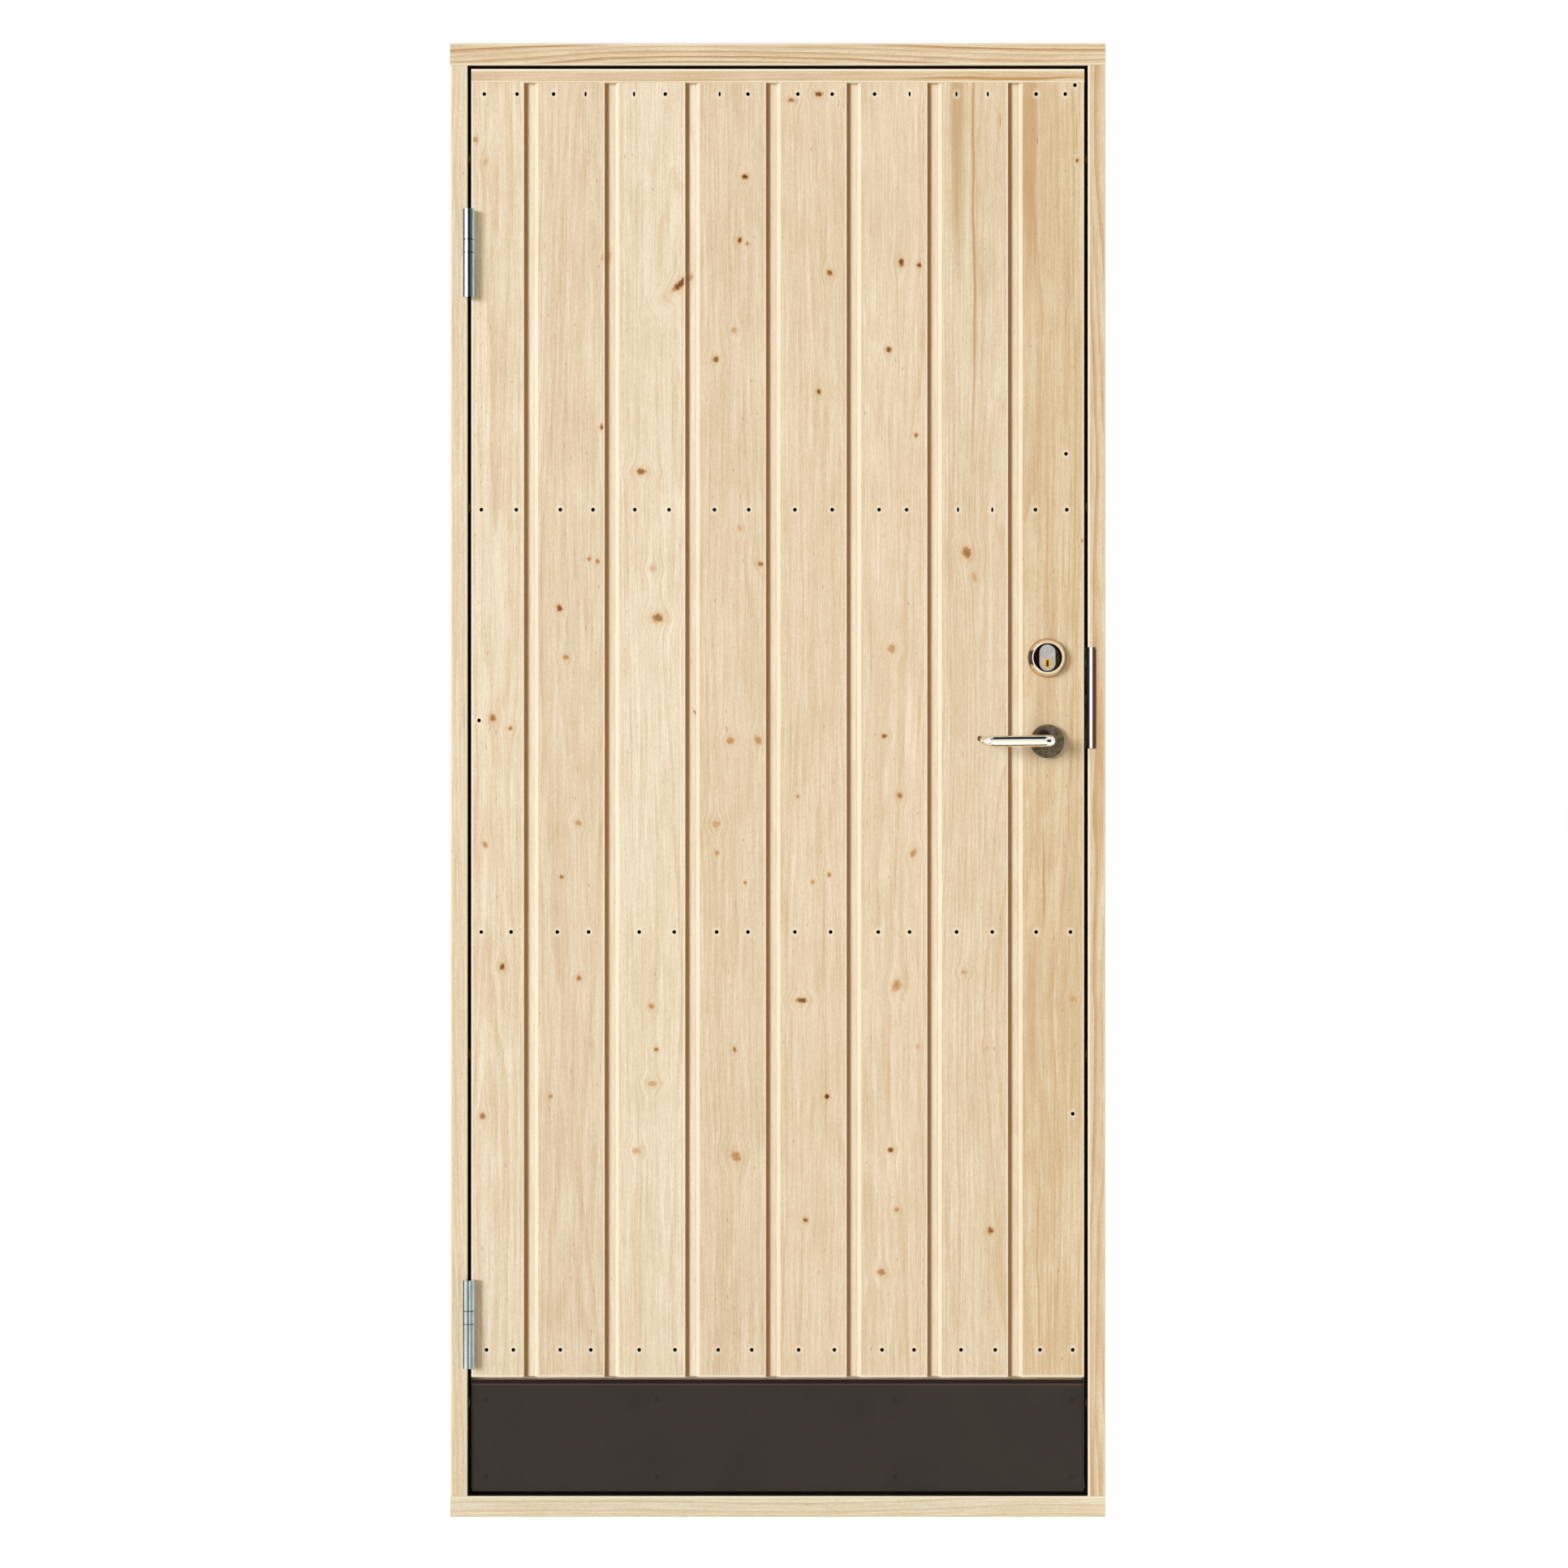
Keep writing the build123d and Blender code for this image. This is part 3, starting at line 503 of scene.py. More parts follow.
BOARD_LOOKS = {
    1: ((-375.0, 20.0, 0.0), 0.3, 1.3, srgb(240, 228, 202), srgb(228, 209, 176)),
    2: ((-262.0, 55.0, 0.0), 0.34, 4.1, srgb(234, 219, 191), srgb(222, 202, 169)),
    3: ((-130.0, 40.0, 0.0), 0.28, 7.7, srgb(241, 229, 203), srgb(229, 212, 180)),
    4: ((-20.0, 60.0, 0.0), 0.3, 11.2, srgb(233, 217, 188), srgb(220, 199, 164)),
    5: ((75.0, 45.0, 0.0), 0.3, 14.9, srgb(235, 219, 190), srgb(223, 202, 167)),
    6: ((140.0, 50.0, 0.0), 0.34, 18.4, srgb(236, 221, 192), srgb(223, 203, 169)),
    7: ((320.0, 40.0, 0.0), 0.42, 22.6, srgb(233, 219, 190), srgb(220, 198, 163)),
    8: ((330.0, 45.0, 0.0), 0.5, 26.3, srgb(229, 210, 176), srgb(213, 187, 147)),
}
SHOULDER_WIDTH = 14.0
leaf_right = box_mm("top_strip")[1].x
for number, (pith, contrast, seed, light, tan) in BOARD_LOOKS.items():
    low, high = box_mm(f"board_{number}")
    last = number == len(BOARD_LOOKS)
    arris = leaf_right if last else box_mm(f"board_{number + 1}")[0].x - SHOULDER_WIDTH
    near = [(x, z) for x, z in nail_places if low.x - 1 <= x <= arris + 1]
    # Painted highlights along each board's arris and bottom end, and along the first board's left edge
    pale_edges = [(X, arris - 3.2, arris - 1.2), (Z, low.z + 3.6, low.z + 1.8)]
    if number == 1:
        pale_edges.append((X, low.x + 3.4, low.x + 1.4))
    dress(wood(f"pine board {number}", light=light, tan=tan, pith=pith, contrast=contrast, seed=seed,
               knots=KNOTS[number], streaks=STREAKS.get(number, ()), nails=near, pale=pale_edges,
               shoulder=None if last else arris), f"board_{number}")

inner_left = box_mm("jamb_hinge")[1].x
inner_right = box_mm("jamb_lock")[0].x
outer = box_mm("head")[1]
head_low = box_mm("head")[0].z
sill_top = box_mm("threshold")[1].z
strip_low, strip_top = (corner.z for corner in box_mm("top_strip"))
kick_front = box_mm("kick_board")[0].y
# Pale edges on the frame and the top strip are painted highlights along their arrises; rebates get painted
# shade
dress(wood("pine jamb left", pith=(-540.0, 30.0, 0.0), contrast=0.4, seed=31.0, ring=5.0,
           light=srgb(236, 222, 194), tan=srgb(226, 208, 175), rebate=(X, inner_left - 0.9, inner_left - 0.4),
           pale=[(X, inner_left - 4.0, inner_left - 1.5), (X, 3.5 - outer.x, 1.0 - outer.x)]),
      "jamb_hinge", "stop_hinge")
jamb_pine = wood("pine jamb right", pith=(470.0, 25.0, 0.0), contrast=0.75, seed=35.0, ring=5.5,
                 light=srgb(230, 213, 181), tan=srgb(214, 189, 150), late=srgb(200, 154, 102),
                 rebate=(X, inner_right + 0.9, inner_right + 0.4),
                 pale=[(X, inner_right + 4.0, inner_right + 1.5), (X, outer.x - 3.0, outer.x - 1.0)])
dress(jamb_pine, "jamb_lock", "stop_lock")
dress(wood("pine head", along="x", pith=(1890.0, -20.0, 0.0), contrast=1.05, seed=39.0, ring=6.5,
           light=srgb(232, 215, 182), tan=srgb(218, 195, 156), late=srgb(182, 132, 78),
           rebate=(Z, head_low + 0.9, head_low + 0.4),
           pale=[(Z, head_low + 4.0, head_low + 1.5), (Z, outer.z - 4.0, outer.z - 1.5)]),
      "head", "stop_head")
dress(wood("pine threshold", along="x", pith=(-90.0, -10.0, 0.0), contrast=0.5, seed=43.0, ring=6.0,
           light=srgb(239, 228, 202), tan=srgb(228, 214, 184),
           rebate=(Z, sill_top - 0.9, sill_top - 0.4),
           pale=[(Z, sill_top - 4.0, sill_top - 1.5)]), "threshold", "stop_threshold")
dress(wood("pine strip", along="x", pith=(1990.0, -30.0, 0.0), contrast=0.5, seed=47.0, ring=5.0,
           light=srgb(228, 209, 175), tan=srgb(217, 194, 156), streaks=STRIP_STREAKS,
           pale=[(Z, strip_top - 4.0, strip_top - 2.0), (Z, strip_low + 2.5, strip_low + 1.0)]), "top_strip")
dress(wood("pine stile", pith=(0.0, 90.0, 0.0), contrast=0.4, seed=51.0), "stile_hinge", "stile_lock")
dress(wood("pine rail", along="x", pith=(1000.0, 60.0, 0.0), contrast=0.4, seed=55.0),
      "rail_top", "rail_upper", "rail_lower", "rail_bottom")
# The kick board's front is painted dark as the shadow in the gap between the boards' ends and the plate
dress(wood("pine kick board", along="x", pith=(100.0, 60.0, 0.0), contrast=0.4, seed=59.0,
           dark=(Y, kick_front + 0.4, kick_front + 0.1)), "kick_board")


# Metals, paint and rubber. Mottling is a noise's detail and roughness, its scale comes with each material

MOTTLING = (3.0, 0.6)
MOTTLING_SEED = 3.0
POCKS, POCK_SEED = ((0.9, 0.9, 0.9), 2.0, 0.6), 5.0
MOTTLE_STEP = (0.35, 0.65)
SPOT_SPAN = (0.6, 0.72)
GLOSS_SPAN, GLOSSIER, DULLER = (0.3, 0.7), 0.85, 1.2
SPOT = srgb(60, 62, 66)
POCK_DEPTH = 0.1 * MM


def surface(name, color, roughness, metallic, vary=0.06, scale=(0.05, 0.05, 0.05), spots=0.0, bump=0.0,
            specular=0.5):
    """A metal, paint or rubber, with a fine uneven colour and roughness."""
    material, tree, shader = new_material(name)
    place = in_mm(tree)
    broad = noise(tree, place, MOTTLING_SEED, (scale, *MOTTLING))
    fine = noise(tree, place, POCK_SEED, POCKS)
    darker = tuple(value * (1 - 2 * vary) for value in color[:3]) + (1.0,)
    mottled = blended(tree, smooth(tree, broad, *MOTTLE_STEP), color, darker)
    if spots:
        mottled = blended(tree, smooth(tree, fine, *SPOT_SPAN, 0.0, spots), mottled, SPOT)
    put(tree, shader.inputs["Base Color"], mottled)
    put(tree, shader.inputs["Roughness"],
        smooth(tree, broad, *GLOSS_SPAN, roughness * GLOSSIER, roughness * DULLER))
    shader.inputs["Metallic"].default_value = metallic
    shader.inputs["Specular IOR Level"].default_value = specular
    if bump:
        grain = add(tree, "ShaderNodeBump", {"Height": fine, "Strength": bump, "Distance": POCK_DEPTH})
        put(tree, shader.inputs["Normal"], grain.outputs[0])
    return material


# The lock case shows only through the bore: its dark red-brown is painted shade there
case_steel = surface("case steel", srgb(150, 92, 56), 0.6, 0.0, 0.1, specular=0.2)
zinc = surface("zinc", srgb(210, 218, 217), 0.16, 1.0, 0.1, (0.12, 0.12, 0.05), spots=0.25, bump=0.12)
nickel = surface("polished nickel", srgb(239, 235, 224), 0.1, 1.0, 0.03)
ring_nickel = surface("ring nickel", srgb(232, 214, 184), 0.14, 1.0, 0.04)
# The satin nickel's dark base stands in for the dark surroundings it reflects: a painted reflection
satin = surface("satin nickel", srgb(108, 96, 78), 0.4, 1.0, 0.22, (0.16, 0.16, 0.16), bump=0.4)
face = surface("cylinder face", srgb(186, 182, 176), 0.3, 1.0, 0.08, (0.2, 0.2, 0.2), bump=0.15)
brass = surface("plug brass", srgb(222, 188, 112), 0.2, 1.0, 0.1)
strike = surface("strike steel", srgb(250, 250, 250), 0.1, 1.0, 0.02)
paint = surface("kick plate paint", srgb(52, 46, 38), 0.55, 0.0, 0.06, (0.01, 0.01, 0.01), bump=0.3,
                specular=0.18)
rubber = surface("seal rubber", srgb(30, 29, 28), 0.6, 0.0, 0.05, specular=0.3)
# The nail heads are near black: their own dark steel, with painted shade for the hollow each sits in
nail_steel = surface("nail heads", srgb(8, 6, 5), 0.9, 0.0, 0.1, specular=0.0)
screw_steel = surface("screw zinc", srgb(190, 192, 194), 0.25, 1.0, 0.08, (0.2, 0.2, 0.2))


# Places where a material is darker or brighter, nearly all of them painted shade, shadow, highlight or
# reflection; the hinge seams are dark joints. Each function gives the share of the other colour

ring_low, ring_high = box_mm("cylinder_ring")
ring_middle = (ring_low + ring_high) / 2
RING_BORE = 19.4
RING_FACE_EDGE = (20.4, 21.0)
face_front = box_mm("lock_cylinder")[0].y
strike_low, strike_high = box_mm("strike_plate")
STRIKE_FLAT = (strike_low.x + 1.6, strike_low.x + 2.4)
plate_top = box_mm("kick_plate")[1].z
collar_low, collar_high = (corner.z for corner in box_mm("hinge_collars"))
COLLAR = 17.5
HINGE_SEAMS = (collar_low, collar_low + COLLAR, collar_high - COLLAR, collar_high)


def shade_where(material, color, share_of):
    """Turns a material to another colour where share_of, given the tree and the place in mm, says so."""
    tree = material.node_tree
    socket = tree.nodes["Principled BSDF"].inputs["Base Color"]
    put(tree, socket, blended(tree, share_of(tree, in_mm(tree)), socket.links[0].from_socket, color))


def along_axis(axis, start, end, from_share, to_share):
    """A share that changes along one axis only."""
    return lambda tree, place: smooth(tree, split(tree, place)[axis], start, end, from_share, to_share)


def from_ring(tree, place):
    """How far a point is from the ring's axis, and its place from the ring's middle."""
    off = vectors(tree, "SUBTRACT", place, tuple(ring_middle))
    return length(tree, vectors(tree, "MULTIPLY", off, WITHOUT_Y)), split(tree, off)


def bore_shade(tree, place):
    """Inside the ring's bore, where painted shade keeps the metal and the wood dark."""
    radius, _ = from_ring(tree, place)
    return maths(tree, "MULTIPLY", smooth(tree, radius, RING_BORE + 0.1, RING_BORE + 0.5, 0.96, 0.0),
                 smooth(tree, split(tree, place)[Y], ring_low.y + 0.3, ring_low.y + 1.2))


def rim_contact_shadow(tree, place):
    """The ring's outer edge, painted dark as the contact shadow where it meets the board."""
    radius, _ = from_ring(tree, place)
    edge = (ring_high.x - ring_low.x) / 2
    return smooth(tree, radius, edge - 1.6, edge - 0.5, 0.0, 0.6)


def left_face_highlight(tree, place):
    """The left half of the ring's front face, with a painted highlight."""
    radius, off = from_ring(tree, place)
    return maths(tree, "MULTIPLY", smooth(tree, radius, *RING_FACE_EDGE, 1.0, 0.0),
                 smooth(tree, off[X], -4.0, -12.0))


def left_flank_reflection(tree, place):
    """A painted reflection: a dark crescent on the left of the ring's flank."""
    radius, off = from_ring(tree, place)
    crescent = band(tree, radius, *RING_FACE_EDGE, 25.0, 25.6)
    low_enough = smooth(tree, maths(tree, "ABSOLUTE", off[Z]), 8.0, 12.0, 0.95, 0.0)
    return maths(tree, "MULTIPLY", maths(tree, "MULTIPLY", crescent, low_enough),
                 smooth(tree, off[X], -4.0, -6.0))


def keyway_shade(tree, place):
    """The slot in the plug's face, painted dark as its shade."""
    low, high = box_mm("cylinder_plug")
    off = split(tree, vectors(tree, "ABSOLUTE", vectors(tree, "SUBTRACT", place, tuple((low + high) / 2))))
    return maths(tree, "MULTIPLY", smooth(tree, off[X], 1.3, 1.9, 0.95, 0.0),
                 smooth(tree, off[Z], 3.6, 4.6, 1.0, 0.0))


def neck_shadow_on_rose(tree, place):
    """A painted shadow of the lever's neck on the outer rose, above it."""
    low, high = box_mm("rose_outside")
    spot = (low + high) / 2 + Vector((-5.0, 0.0, 9.5))
    away = vectors(tree, "MULTIPLY", vectors(tree, "SUBTRACT", place, tuple(spot)), (1.0, 0.0, 1.4))
    return smooth(tree, length(tree, away), 5.0, 11.0, 0.85, 0.0)


def bend_gap_shade(tree, place):
    """Painted shade on the front of the strike plate's flat part, dark as the gap that it lines."""
    sides = split(tree, place)
    return maths(tree, "MULTIPLY", smooth(tree, sides[X], *STRIKE_FLAT, 0.96, 0.0),
                 smooth(tree, sides[Y], -38.0, -40.0))


def lip_shadow_on_jamb(tree, place):
    """A painted shadow of the strike plate's lip on the jamb's front."""
    sides = split(tree, place)
    across = smooth(tree, sides[X], strike_high.x + 1.4, strike_high.x + 3.0, 0.8, 0.0)
    across = maths(tree, "MULTIPLY", across, smooth(tree, sides[Y], -44.0, -45.0))
    along = band(tree, sides[Z], strike_low.z - 1.5, strike_low.z + 1.0, strike_high.z - 6.0, strike_high.z)
    return maths(tree, "MULTIPLY", across, along)


def at_seams(tree, place):
    """The dark joints between the hinges' knuckles and collars."""
    height = split(tree, place)[Z]
    found = 0.0
    for seam in HINGE_SEAMS:
        off = maths(tree, "ABSOLUTE", maths(tree, "SUBTRACT", height, seam))
        found = maths(tree, "MAXIMUM", found, smooth(tree, off, 0.45, 0.75, 0.9, 0.0))
    return found


shade_where(ring_nickel, srgb(150, 104, 58), rim_contact_shadow)
shade_where(ring_nickel, srgb(255, 252, 244), left_face_highlight)
shade_where(ring_nickel, srgb(40, 20, 10), left_flank_reflection)
shade_where(ring_nickel, srgb(24, 20, 17), bore_shade)
shade_where(brass, srgb(52, 28, 12), keyway_shade)
# Painted reflection: the lock case's right half is lighter, as seen through the bore
shade_where(case_steel, srgb(210, 190, 160),
            along_axis(X, ring_middle.x - 1.0, ring_middle.x + 1.0, 0.0, 1.0))
# Painted shade on the cylinder behind its front face, inside the ring
shade_where(face, srgb(58, 44, 34), along_axis(Y, face_front + 0.1, face_front + 0.5, 0.0, 0.9))
# Painted shade and reflection on the strike plate: the flat part in the gap greyed, its front blackened, a
# grey-blue band and then red-brown shade on the lip's right
shade_where(strike, srgb(128, 126, 122), along_axis(X, *STRIKE_FLAT, 1.0, 0.0))
shade_where(strike, srgb(20, 18, 17), bend_gap_shade)
shade_where(strike, srgb(84, 92, 100), along_axis(X, strike_low.x + 5.3, strike_low.x + 5.8, 0.0, 0.95))
shade_where(strike, srgb(96, 50, 26), along_axis(X, strike_low.x + 6.3, strike_low.x + 6.9, 0.0, 0.95))
# Painted light on the kick plate's top: a red-brown band painted as its lit edge, and above it black painted
# shadow under the boards' ends
shade_where(paint, srgb(104, 68, 50), along_axis(Z, plate_top - 8.2, plate_top - 6.6, 0.0, 0.75))
shade_where(paint, srgb(10, 9, 9), along_axis(Z, plate_top - 5.8, plate_top - 5.0, 0.0, 0.95))
# Painted shade on board 8's wood inside the ring's bore
shade_where(bpy.data.materials["pine board 8"], srgb(30, 20, 13), bore_shade)
shade_where(satin, srgb(26, 20, 15), neck_shadow_on_rose)
shade_where(jamb_pine, srgb(96, 46, 20), lip_shadow_on_jamb)
shade_where(zinc, srgb(24, 30, 34), at_seams)

dress(zinc, "hinge_upper_frame_half", "hinge_upper_leaf_half", "hinge_lower_frame_half",
      "hinge_lower_leaf_half", "hinge_collars", "forend", "bolts", "spindle")
dress(case_steel, "lock_case")
dress(ring_nickel, "cylinder_ring")
dress(nickel, "lever_outside", "lever_inside", "thumb_turn")
dress(satin, "rose_outside", "rose_inside", "thumb_turn_rose")
dress(face, "lock_cylinder")
dress(brass, "cylinder_plug")
dress(strike, "strike_plate")
dress(paint, "kick_plate")
dress(rubber, "frame_seal")


# New pieces: the levers' tubes, and the nail and screw heads


def new_piece(name, shape, body, material):
    """A piece made from a bmesh, smooth but for its end faces, that rides on a body."""
    bmesh.ops.recalc_face_normals(shape, faces=shape.faces)
    mesh = bpy.data.meshes.new(name)
    shape.to_mesh(mesh)
    shape.free()
    for polygon in mesh.polygons:
        polygon.use_smooth = len(polygon.vertices) == 4
    mesh.materials.append(material)
    piece = bpy.data.objects.new(name, mesh)
    bpy.context.scene.collection.objects.link(piece)
    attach(piece, body)
    return piece


def skin(shape, rings):
    """Joins rings of vertices with four-sided faces, and closes both ends."""
    count = len(rings[0])
    for lower, upper in zip(rings, rings[1:]):
        for step in range(count):
            after = (step + 1) % count
            shape.faces.new((lower[step], lower[after], upper[after], upper[step]))
    shape.faces.new(rings[-1])
    shape.faces.new(list(reversed(rings[0])))


LEVER_RADIUS = 7.9
LEVER_END_RADIUS = 4.6
LEVER_PROJECTION = 50.0
LEVER_REACH = 84.5
LEVER_RISE = -0.8
LEVER_RETURN = Vector((-7.0, 22.0, 4.5))
LEVER_SEAT = 2.0
ELBOW_RADIUS = 8.6
TIP_RADIUS = 14.0
TIP_EDGE = 2.5
TIP_EDGE_STEPS = 4
TIP_FLAT = 0.3
TUBE_SIDES = 48
BEND_STEPS = 14
RUN_MARGIN = 0.8


def rounded_path(corners, radii):
    """The points of a path whose inner corners are arcs, with a point just outside each end of an arc."""
    points = [corners[0]]
    for before, corner, after, radius in zip(corners, corners[1:], corners[2:], radii):
        to_start = (before - corner).normalized()
        to_end = (after - corner).normalized()
        half = to_start.angle(to_end) / 2
        turn_length = radius / math.tan(half)
        middle = corner + (to_start + to_end).normalized() * radius / math.sin(half)
        first = corner + to_start * turn_length - middle
        last = corner + to_end * turn_length - middle
        points.append(corner + to_start * (turn_length + RUN_MARGIN))
        points += [middle + first.slerp(last, step / BEND_STEPS) * radius for step in range(BEND_STEPS + 1)]
        points.append(corner + to_end * (turn_length + RUN_MARGIN))
    points.append(corners[-1])
    return points


def tube(points, radii):
    """A round tube along a path, whose far end has a rounded edge."""
    across = (points[1] - points[0]).cross(points[-2] - points[0]).normalized()
    stations = list(zip(points[:-1], radii[:-1]))
    last_way = (points[-1] - points[-2]).normalized()
    for step in range(TIP_EDGE_STEPS + 1):
        angle = math.pi / 2 * step / TIP_EDGE_STEPS
        stations.append((points[-1] - last_way * TIP_EDGE * (1 - math.sin(angle)),
                         radii[-1] - TIP_EDGE * (1 - math.cos(angle))))
    stations.append((points[-1], radii[-1] * TIP_FLAT))
    shape = bmesh.new()
    rings = []
    for index, (point, size) in enumerate(stations):
        if index == 0:
            way = (points[1] - points[0]).normalized()
        elif index >= len(points) - 1:
            way = last_way
        else:
            way = ((points[index] - points[index - 1]).normalized()
                   + (points[index + 1] - points[index]).normalized()).normalized()
        side = way.cross(across).normalized()
        up = side.cross(way).normalized()
        rings.append([shape.verts.new((point + (side * math.cos(turn) + up * math.sin(turn)) * size) * MM)
                      for turn in (2 * math.pi * step / TUBE_SIDES for step in range(TUBE_SIDES))])
    skin(shape, rings)
    return shape


for side, outward in (("outside", -1), ("inside", 1)):
    rose_low, rose_high = box_mm(f"rose_{side}")
    middle = (rose_low + rose_high) / 2
    out = Vector((0, outward, 0))
    along = Vector((-LEVER_REACH, 0, LEVER_RISE)).normalized()
    base = Vector((middle.x, rose_high.y if outward < 0 else rose_low.y, middle.z))
    elbow = base + out * LEVER_PROJECTION
    tip = elbow + along * LEVER_REACH
    end = tip + Vector((LEVER_RETURN.x, -outward * LEVER_RETURN.y, LEVER_RETURN.z))
    path_points = rounded_path([base - out * LEVER_SEAT, elbow, tip, end], (ELBOW_RADIUS, TIP_RADIUS))
    taper_steps = BEND_STEPS + 2
    taper_start = len(path_points) - 1 - taper_steps
    taper = LEVER_END_RADIUS - LEVER_RADIUS
    path_radii = [LEVER_RADIUS + taper * max(0.0, (index - taper_start) / taper_steps)
                  for index in range(len(path_points))]
    piece = new_piece(f"lever_tube_{side}", tube(path_points, path_radii), "lever", nickel)
    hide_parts(f"lever_{side}")

HEAD_SIDES = 24
HEAD_PROFILE = [(1.0, -0.3), (1.0, 0.35), (0.86, 0.8), (0.55, 1.0)]
RECESS_PROFILE = [(0.5, 1.0), (0.4, -0.6)]
LOBE_DEPTH = 0.16


def head_mesh(shape, middle, facing, width, height, proud, lobes):
    """A low domed head with an optional lobed recess, its rim on the surface that it sits in."""
    facing = Vector(facing).normalized()
    side = facing.cross(Vector((0, 0, 1))).normalized()
    up = side.cross(facing).normalized()
    rings = []
    for share, lift in HEAD_PROFILE + (RECESS_PROFILE if lobes else []):
        ring = []
        for step in range(HEAD_SIDES):
            angle = 2 * math.pi * step / HEAD_SIDES
            reach = share
            if lobes and share <= RECESS_PROFILE[0][0]:
                reach = share * (1 + LOBE_DEPTH * math.cos(lobes * angle))
            ring.append(shape.verts.new(
                middle + side * (width / 2 * reach * math.cos(angle)) * MM
                + up * (height / 2 * reach * math.sin(angle)) * MM + facing * proud * lift * MM))
        rings.append(ring)
    skin(shape, rings)


def heads(name, places, body, material, proud=0.3, lobes=0):
    """One mesh of many heads, each given as middle in mm, facing, width and height in mm."""
    shape = bmesh.new()
    for middle, facing, width, height in places:
        head_mesh(shape, Vector(middle) * MM, facing, width, height, proud, lobes)
    return new_piece(name, shape, body, material)


def head_on(node, start, way, size):
    """A head where a line from a point in mm first meets a node, facing back along that line."""
    hit, place, _, _ = nodes[node].ray_cast(Vector(start) * MM, Vector(way))
    assert hit, node
    return tuple(place / MM), tuple(-part for part in way), *size


TO_FRONT, TO_BACK, TO_LEFT, TO_RIGHT = (0, -1, 0), (0, 1, 0), (-1, 0, 0), (1, 0, 0)
ROUND_NAIL, FLAT_NAIL = (5.0, 5.2), (3.0, 6.5)
PLATE_SCREW_X, PLATE_SCREW_Z, PLATE_SCREW = (-394, -164, 156, 394), (156, 53), (7.0, 7.0)
HINGE_SCREW, LOCK_SCREW, ROSE_SCREW = (6.4, 6.4), (6.6, 6.6), (5.6, 5.6)
GAP_LEFT, GAP_RIGHT = -413.9, 413.4
HINGE_SCREW_Y, LOCK_SCREW_Y = -29, -14
HINGE_SCREW_Z = {"upper": ((1655, 1680), (1725, 1746)), "lower": ((220, 245), (290, 311))}
FOREND_SCREW_Z, STRIKE_SCREW_Z = (991, 1205), (1043, 1158)
LOCK_X, ROSE_SCREW_OFF = 361.5, 17
ROSE_SCREW_YZ = ((11.0, 1042), (10.0, 1154))

boards_front = box_mm("board_1")[0].y
plate_front = box_mm("kick_plate")[0].y
frame_screws, leaf_screws = [], []
for hinge, (frame_heights, leaf_heights) in HINGE_SCREW_Z.items():
    frame_screws += [head_on(f"hinge_{hinge}_frame_half", (GAP_LEFT, HINGE_SCREW_Y, z), TO_LEFT, HINGE_SCREW)
                     for z in frame_heights]
    leaf_screws += [head_on(f"hinge_{hinge}_leaf_half", (GAP_LEFT, HINGE_SCREW_Y, z), TO_RIGHT, HINGE_SCREW)
                    for z in leaf_heights]
leaf_screws += [head_on("forend", (GAP_RIGHT, LOCK_SCREW_Y, z), TO_LEFT, LOCK_SCREW) for z in FOREND_SCREW_Z]
frame_screws += [head_on("strike_plate", (GAP_RIGHT, LOCK_SCREW_Y, z), TO_RIGHT, LOCK_SCREW)
                 for z in STRIKE_SCREW_Z]
for x in (LOCK_X - ROSE_SCREW_OFF, LOCK_X + ROSE_SCREW_OFF):
    leaf_screws += [((x, y, z), TO_BACK, *ROSE_SCREW) for y, z in ROSE_SCREW_YZ]
heads("board_nails", [((x, boards_front, z), TO_FRONT, *(FLAT_NAIL if (x, z) in FLAT_NAILS else ROUND_NAIL))
                      for x, z in nail_places], "leaf", nail_steel)
heads("kick_plate_screws", [((x, plate_front, z), TO_FRONT, *PLATE_SCREW) for x in PLATE_SCREW_X
                            for z in PLATE_SCREW_Z], "leaf", paint, proud=0.8, lobes=6)
heads("frame_screws", frame_screws, "frame", screw_steel, proud=0.5, lobes=4)
heads("leaf_screws", leaf_screws, "leaf", screw_steel, proud=0.5, lobes=4)


# Floor, light and camera

WHITE = (1.0, 1.0, 1.0, 1.0)
FLOOR_REACH = 60.0
FLOOR_GREY = (0.8, 0.8, 0.8, 1.0)
FLOOR_GLOW = 0.7
FILL = 0.48
FILL_COLOR = (1.0, 0.88, 0.68, 1.0)


def seen_directly(tree):
    """1 for the camera's rays and for those that a surface mirrors or lets through, else 0."""
    path = add(tree, "ShaderNodeLightPath").outputs
    mirrored = maths(tree, "MAXIMUM", path["Is Glossy Ray"], path["Is Transmission Ray"])
    return maths(tree, "MAXIMUM", path["Is Camera Ray"], mirrored)


def flat_piece(name, low, high, material):
    """A stage rectangle between two corners, level where they are equally high and upright elsewhere."""
    (x0, y0, z0), (x1, y1, z1) = low, high
    if z0 == z1:
        corners = [(x0, y0, z0), (x1, y0, z0), (x1, y1, z0), (x0, y1, z0)]
    else:
        corners = [(x0, y0, z0), (x1, y1, z0), (x1, y1, z1), (x0, y0, z1)]
    mesh = bpy.data.meshes.new(name)
    mesh.from_pydata(corners, [], [(0, 1, 2, 3)])
    mesh.materials.append(material)
    piece = bpy.data.objects.new(name, mesh)
    bpy.context.scene.collection.objects.link(piece)
    piece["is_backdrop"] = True
    return piece


floor_white, tree, shader = new_material("floor white")
shader.inputs["Base Color"].default_value = FLOOR_GREY
shader.inputs["Roughness"].default_value = 0.9
shader.inputs["Specular IOR Level"].default_value = 0.0
shader.inputs["Emission Color"].default_value = WHITE
put(tree, shader.inputs["Emission Strength"], maths(tree, "MULTIPLY", seen_directly(tree), FLOOR_GLOW))
flat_piece("floor", (-FLOOR_REACH, -FLOOR_REACH, 0), (FLOOR_REACH, FLOOR_REACH, 0), floor_white)

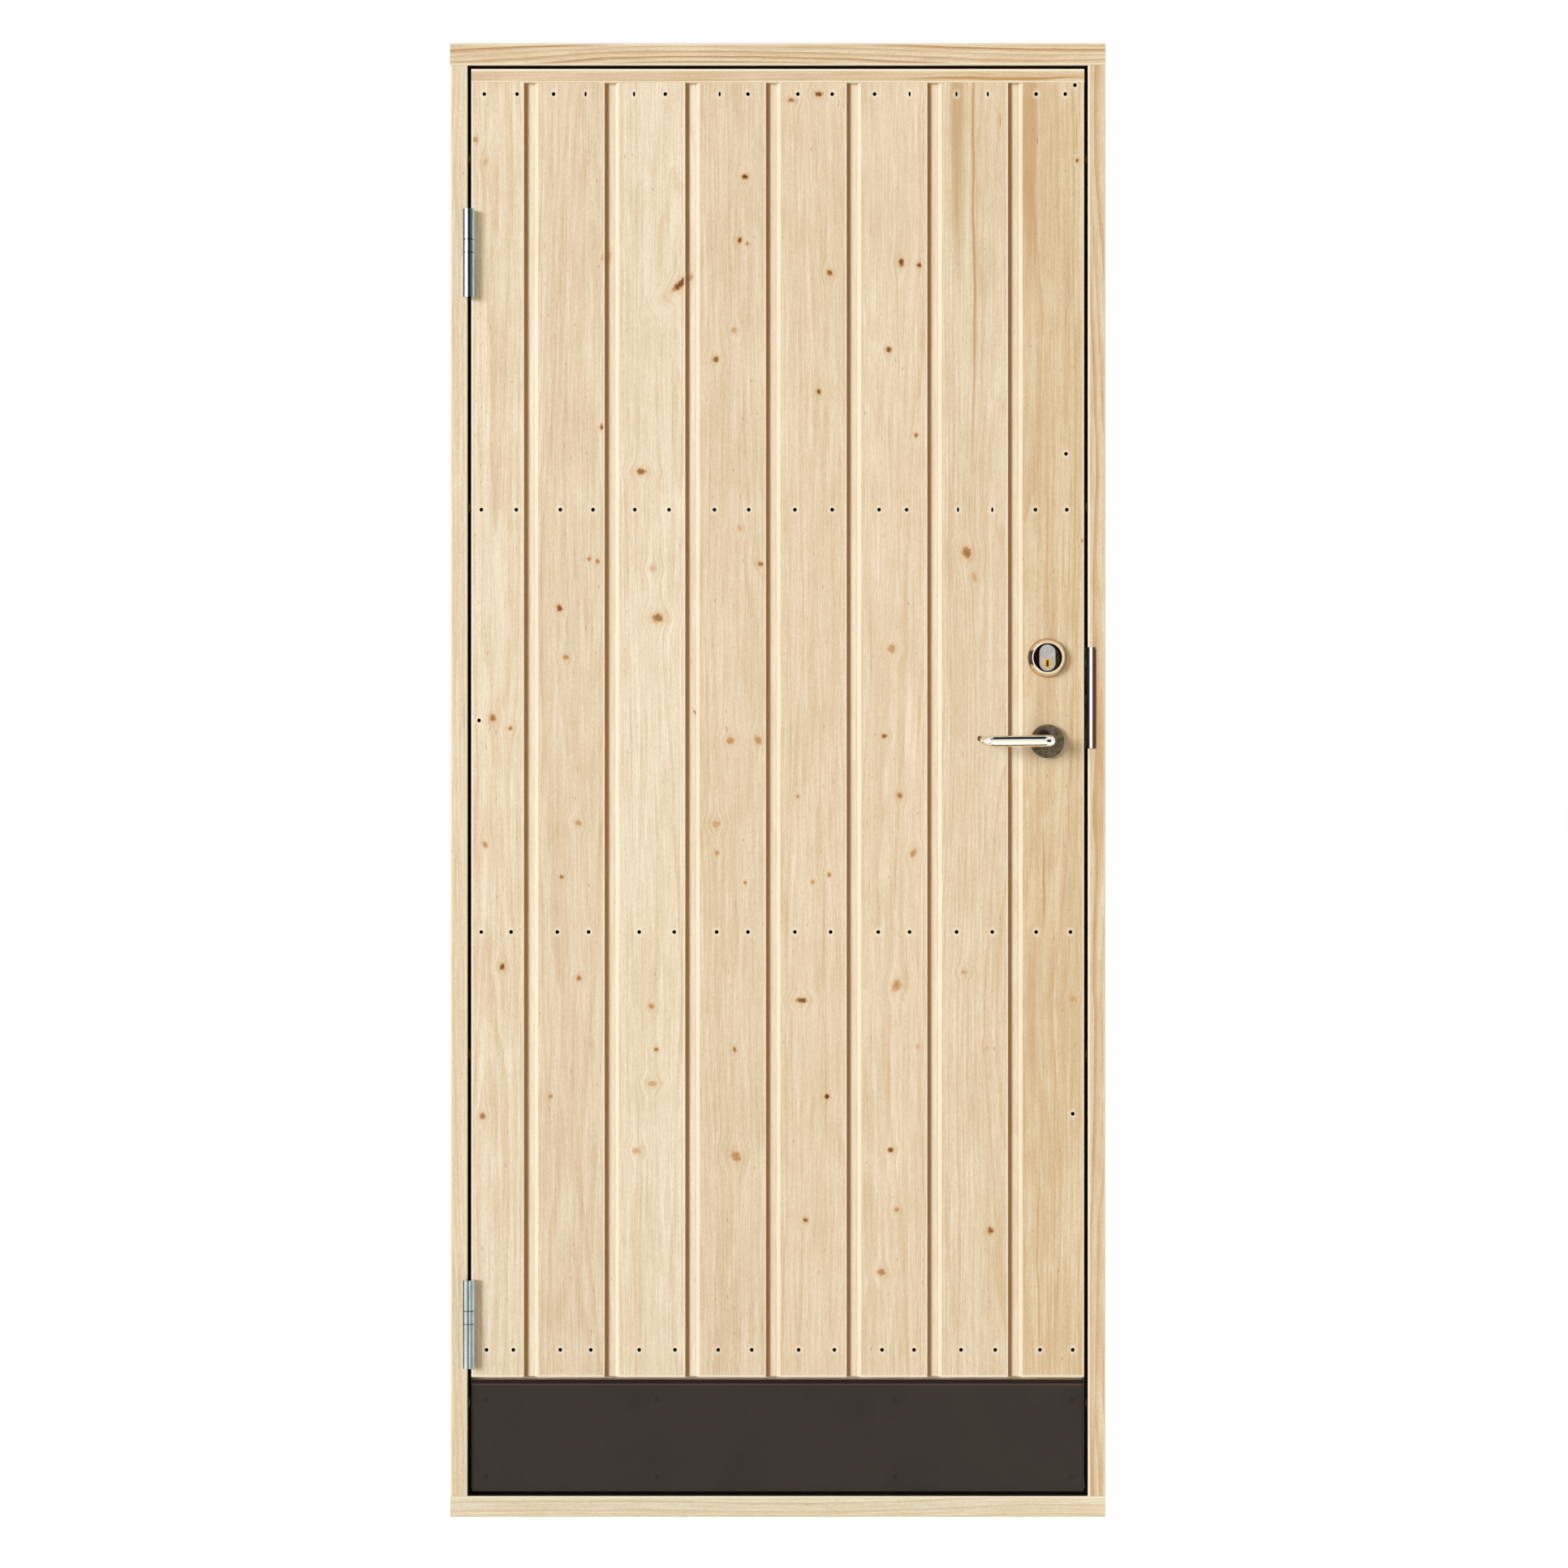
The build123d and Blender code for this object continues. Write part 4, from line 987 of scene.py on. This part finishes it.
world = bpy.data.worlds.new("studio")
bpy.context.scene.world = world
world.use_nodes = True
tree = world.node_tree
background = tree.nodes["Background"]
seen = seen_directly(tree)
put(tree, background.inputs["Color"], blended(tree, seen, FILL_COLOR, WHITE))
put(tree, background.inputs["Strength"], maths(tree, "MAXIMUM", seen, FILL))


def flag(name, low, high, brightness):
    """A studio card that only reflections see."""
    material, tree, shader = new_material(name)
    tree.nodes.remove(shader)
    glow = add(tree, "ShaderNodeEmission", {"Color": (*brightness, 1.0)})
    put(tree, tree.nodes["Material Output"].inputs["Surface"], glow.outputs[0])
    piece = flat_piece(name, low, high, material)
    piece.visible_camera = False
    piece.visible_diffuse = False
    piece.visible_transmission = False
    piece.visible_volume_scatter = False
    piece.visible_shadow = False


DARK = (0.012, 0.014, 0.016)
CARDS_Y = -0.86
CARD_SIDE_Y = -0.1
CARD_RIGHT_X = 0.14
HINGE_CARD_Y = -0.05
LEVER_CARD_Y = -0.0475
flag("flag_hinges", (-0.62, CARDS_Y, 1.5), (CARD_RIGHT_X, CARDS_Y, 2.3), DARK)
flag("flag_upper_hinge", (CARD_RIGHT_X, CARDS_Y, 1.6), (CARD_RIGHT_X, CARD_SIDE_Y, 2.3), (0.13, 0.2, 0.22))
flag("flag_lower_hinge", (CARD_RIGHT_X, CARDS_Y, 0.0), (CARD_RIGHT_X, CARD_SIDE_Y, 0.42), (0.4, 0.47, 0.5))
flag("flag_lower_middle", (-0.56, CARDS_Y, 0.0), (-0.26, CARDS_Y, 0.42), (0.05, 0.08, 0.1))
flag("flag_lower_left", (-1.6, CARDS_Y, 0.0), (-0.56, CARDS_Y, 0.42), (0.5, 0.56, 0.58))
for height, low, high in (("upper", 1.62, 1.77), ("lower", 0.19, 0.33)):
    flag(f"flag_left_edge_{height}", (-0.47, HINGE_CARD_Y, low), (-0.4225, HINGE_CARD_Y, high),
         (0.03, 0.04, 0.045))
    flag(f"flag_right_edge_{height}", (-0.4055, HINGE_CARD_Y, low), (-0.38, HINGE_CARD_Y, high),
         (0.8, 0.85, 0.82))
flag("flag_over_lever", (0.15, -1.3, 1.94), (0.8, -0.11, 1.94), DARK)
flag("flag_under_lever", (0.1, -0.26, 0.54), (0.6, -0.047, 0.54), (0.2, 0.1, 0.035))
flag("flag_right", (0.9, -0.94, 0.7), (1.36, -0.29, 1.4), (0.03, 0.025, 0.02))
flag("flag_right_rim", (0.39, LEVER_CARD_Y, 1.0), (0.44, LEVER_CARD_Y, 1.09), (1.0, 0.97, 0.94))
flag("flag_left_of_lever", (0.1, LEVER_CARD_Y, 1.02), (0.246, LEVER_CARD_Y, 1.065), (1.0, 1.0, 1.0))
flag("flag_at_the_tip", (0.246, LEVER_CARD_Y, 1.02), (0.264, LEVER_CARD_Y, 1.065), (0.2, 0.1, 0.04))


def sun(name, toward, strength, spread, color):
    """A distant lamp that shines along a direction, its width given in degrees."""
    lamp = bpy.data.lights.new(name, "SUN")
    lamp.energy = strength
    lamp.color = color
    lamp.angle = math.radians(spread)
    piece = bpy.data.objects.new(name, lamp)
    piece.rotation_mode = "QUATERNION"
    piece.rotation_quaternion = Vector(toward).to_track_quat("-Z", "Y")
    bpy.context.scene.collection.objects.link(piece)


sun("key light", (0.95, 1.0, -0.24), 2.2, 22.0, (0.97, 1.03, 1.16))
sun("back light", (-1.0, -1.0, -0.6), 1.6, 20.0, (1.0, 1.0, 1.0))

camera_data = bpy.data.cameras.new("camera")
camera_data.sensor_width = 36.0
camera_data.lens = 76.95
camera_data.clip_end = 200.0
camera = bpy.data.objects.new("camera", camera_data)
camera.location = (0.0084, -4.546, 0.9847)
camera.rotation_euler = (math.radians(90), 0, 0)
bpy.context.scene.collection.objects.link(camera)
bpy.context.scene.camera = camera
bpy.context.scene.view_settings.view_transform = "Standard"

low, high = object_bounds()
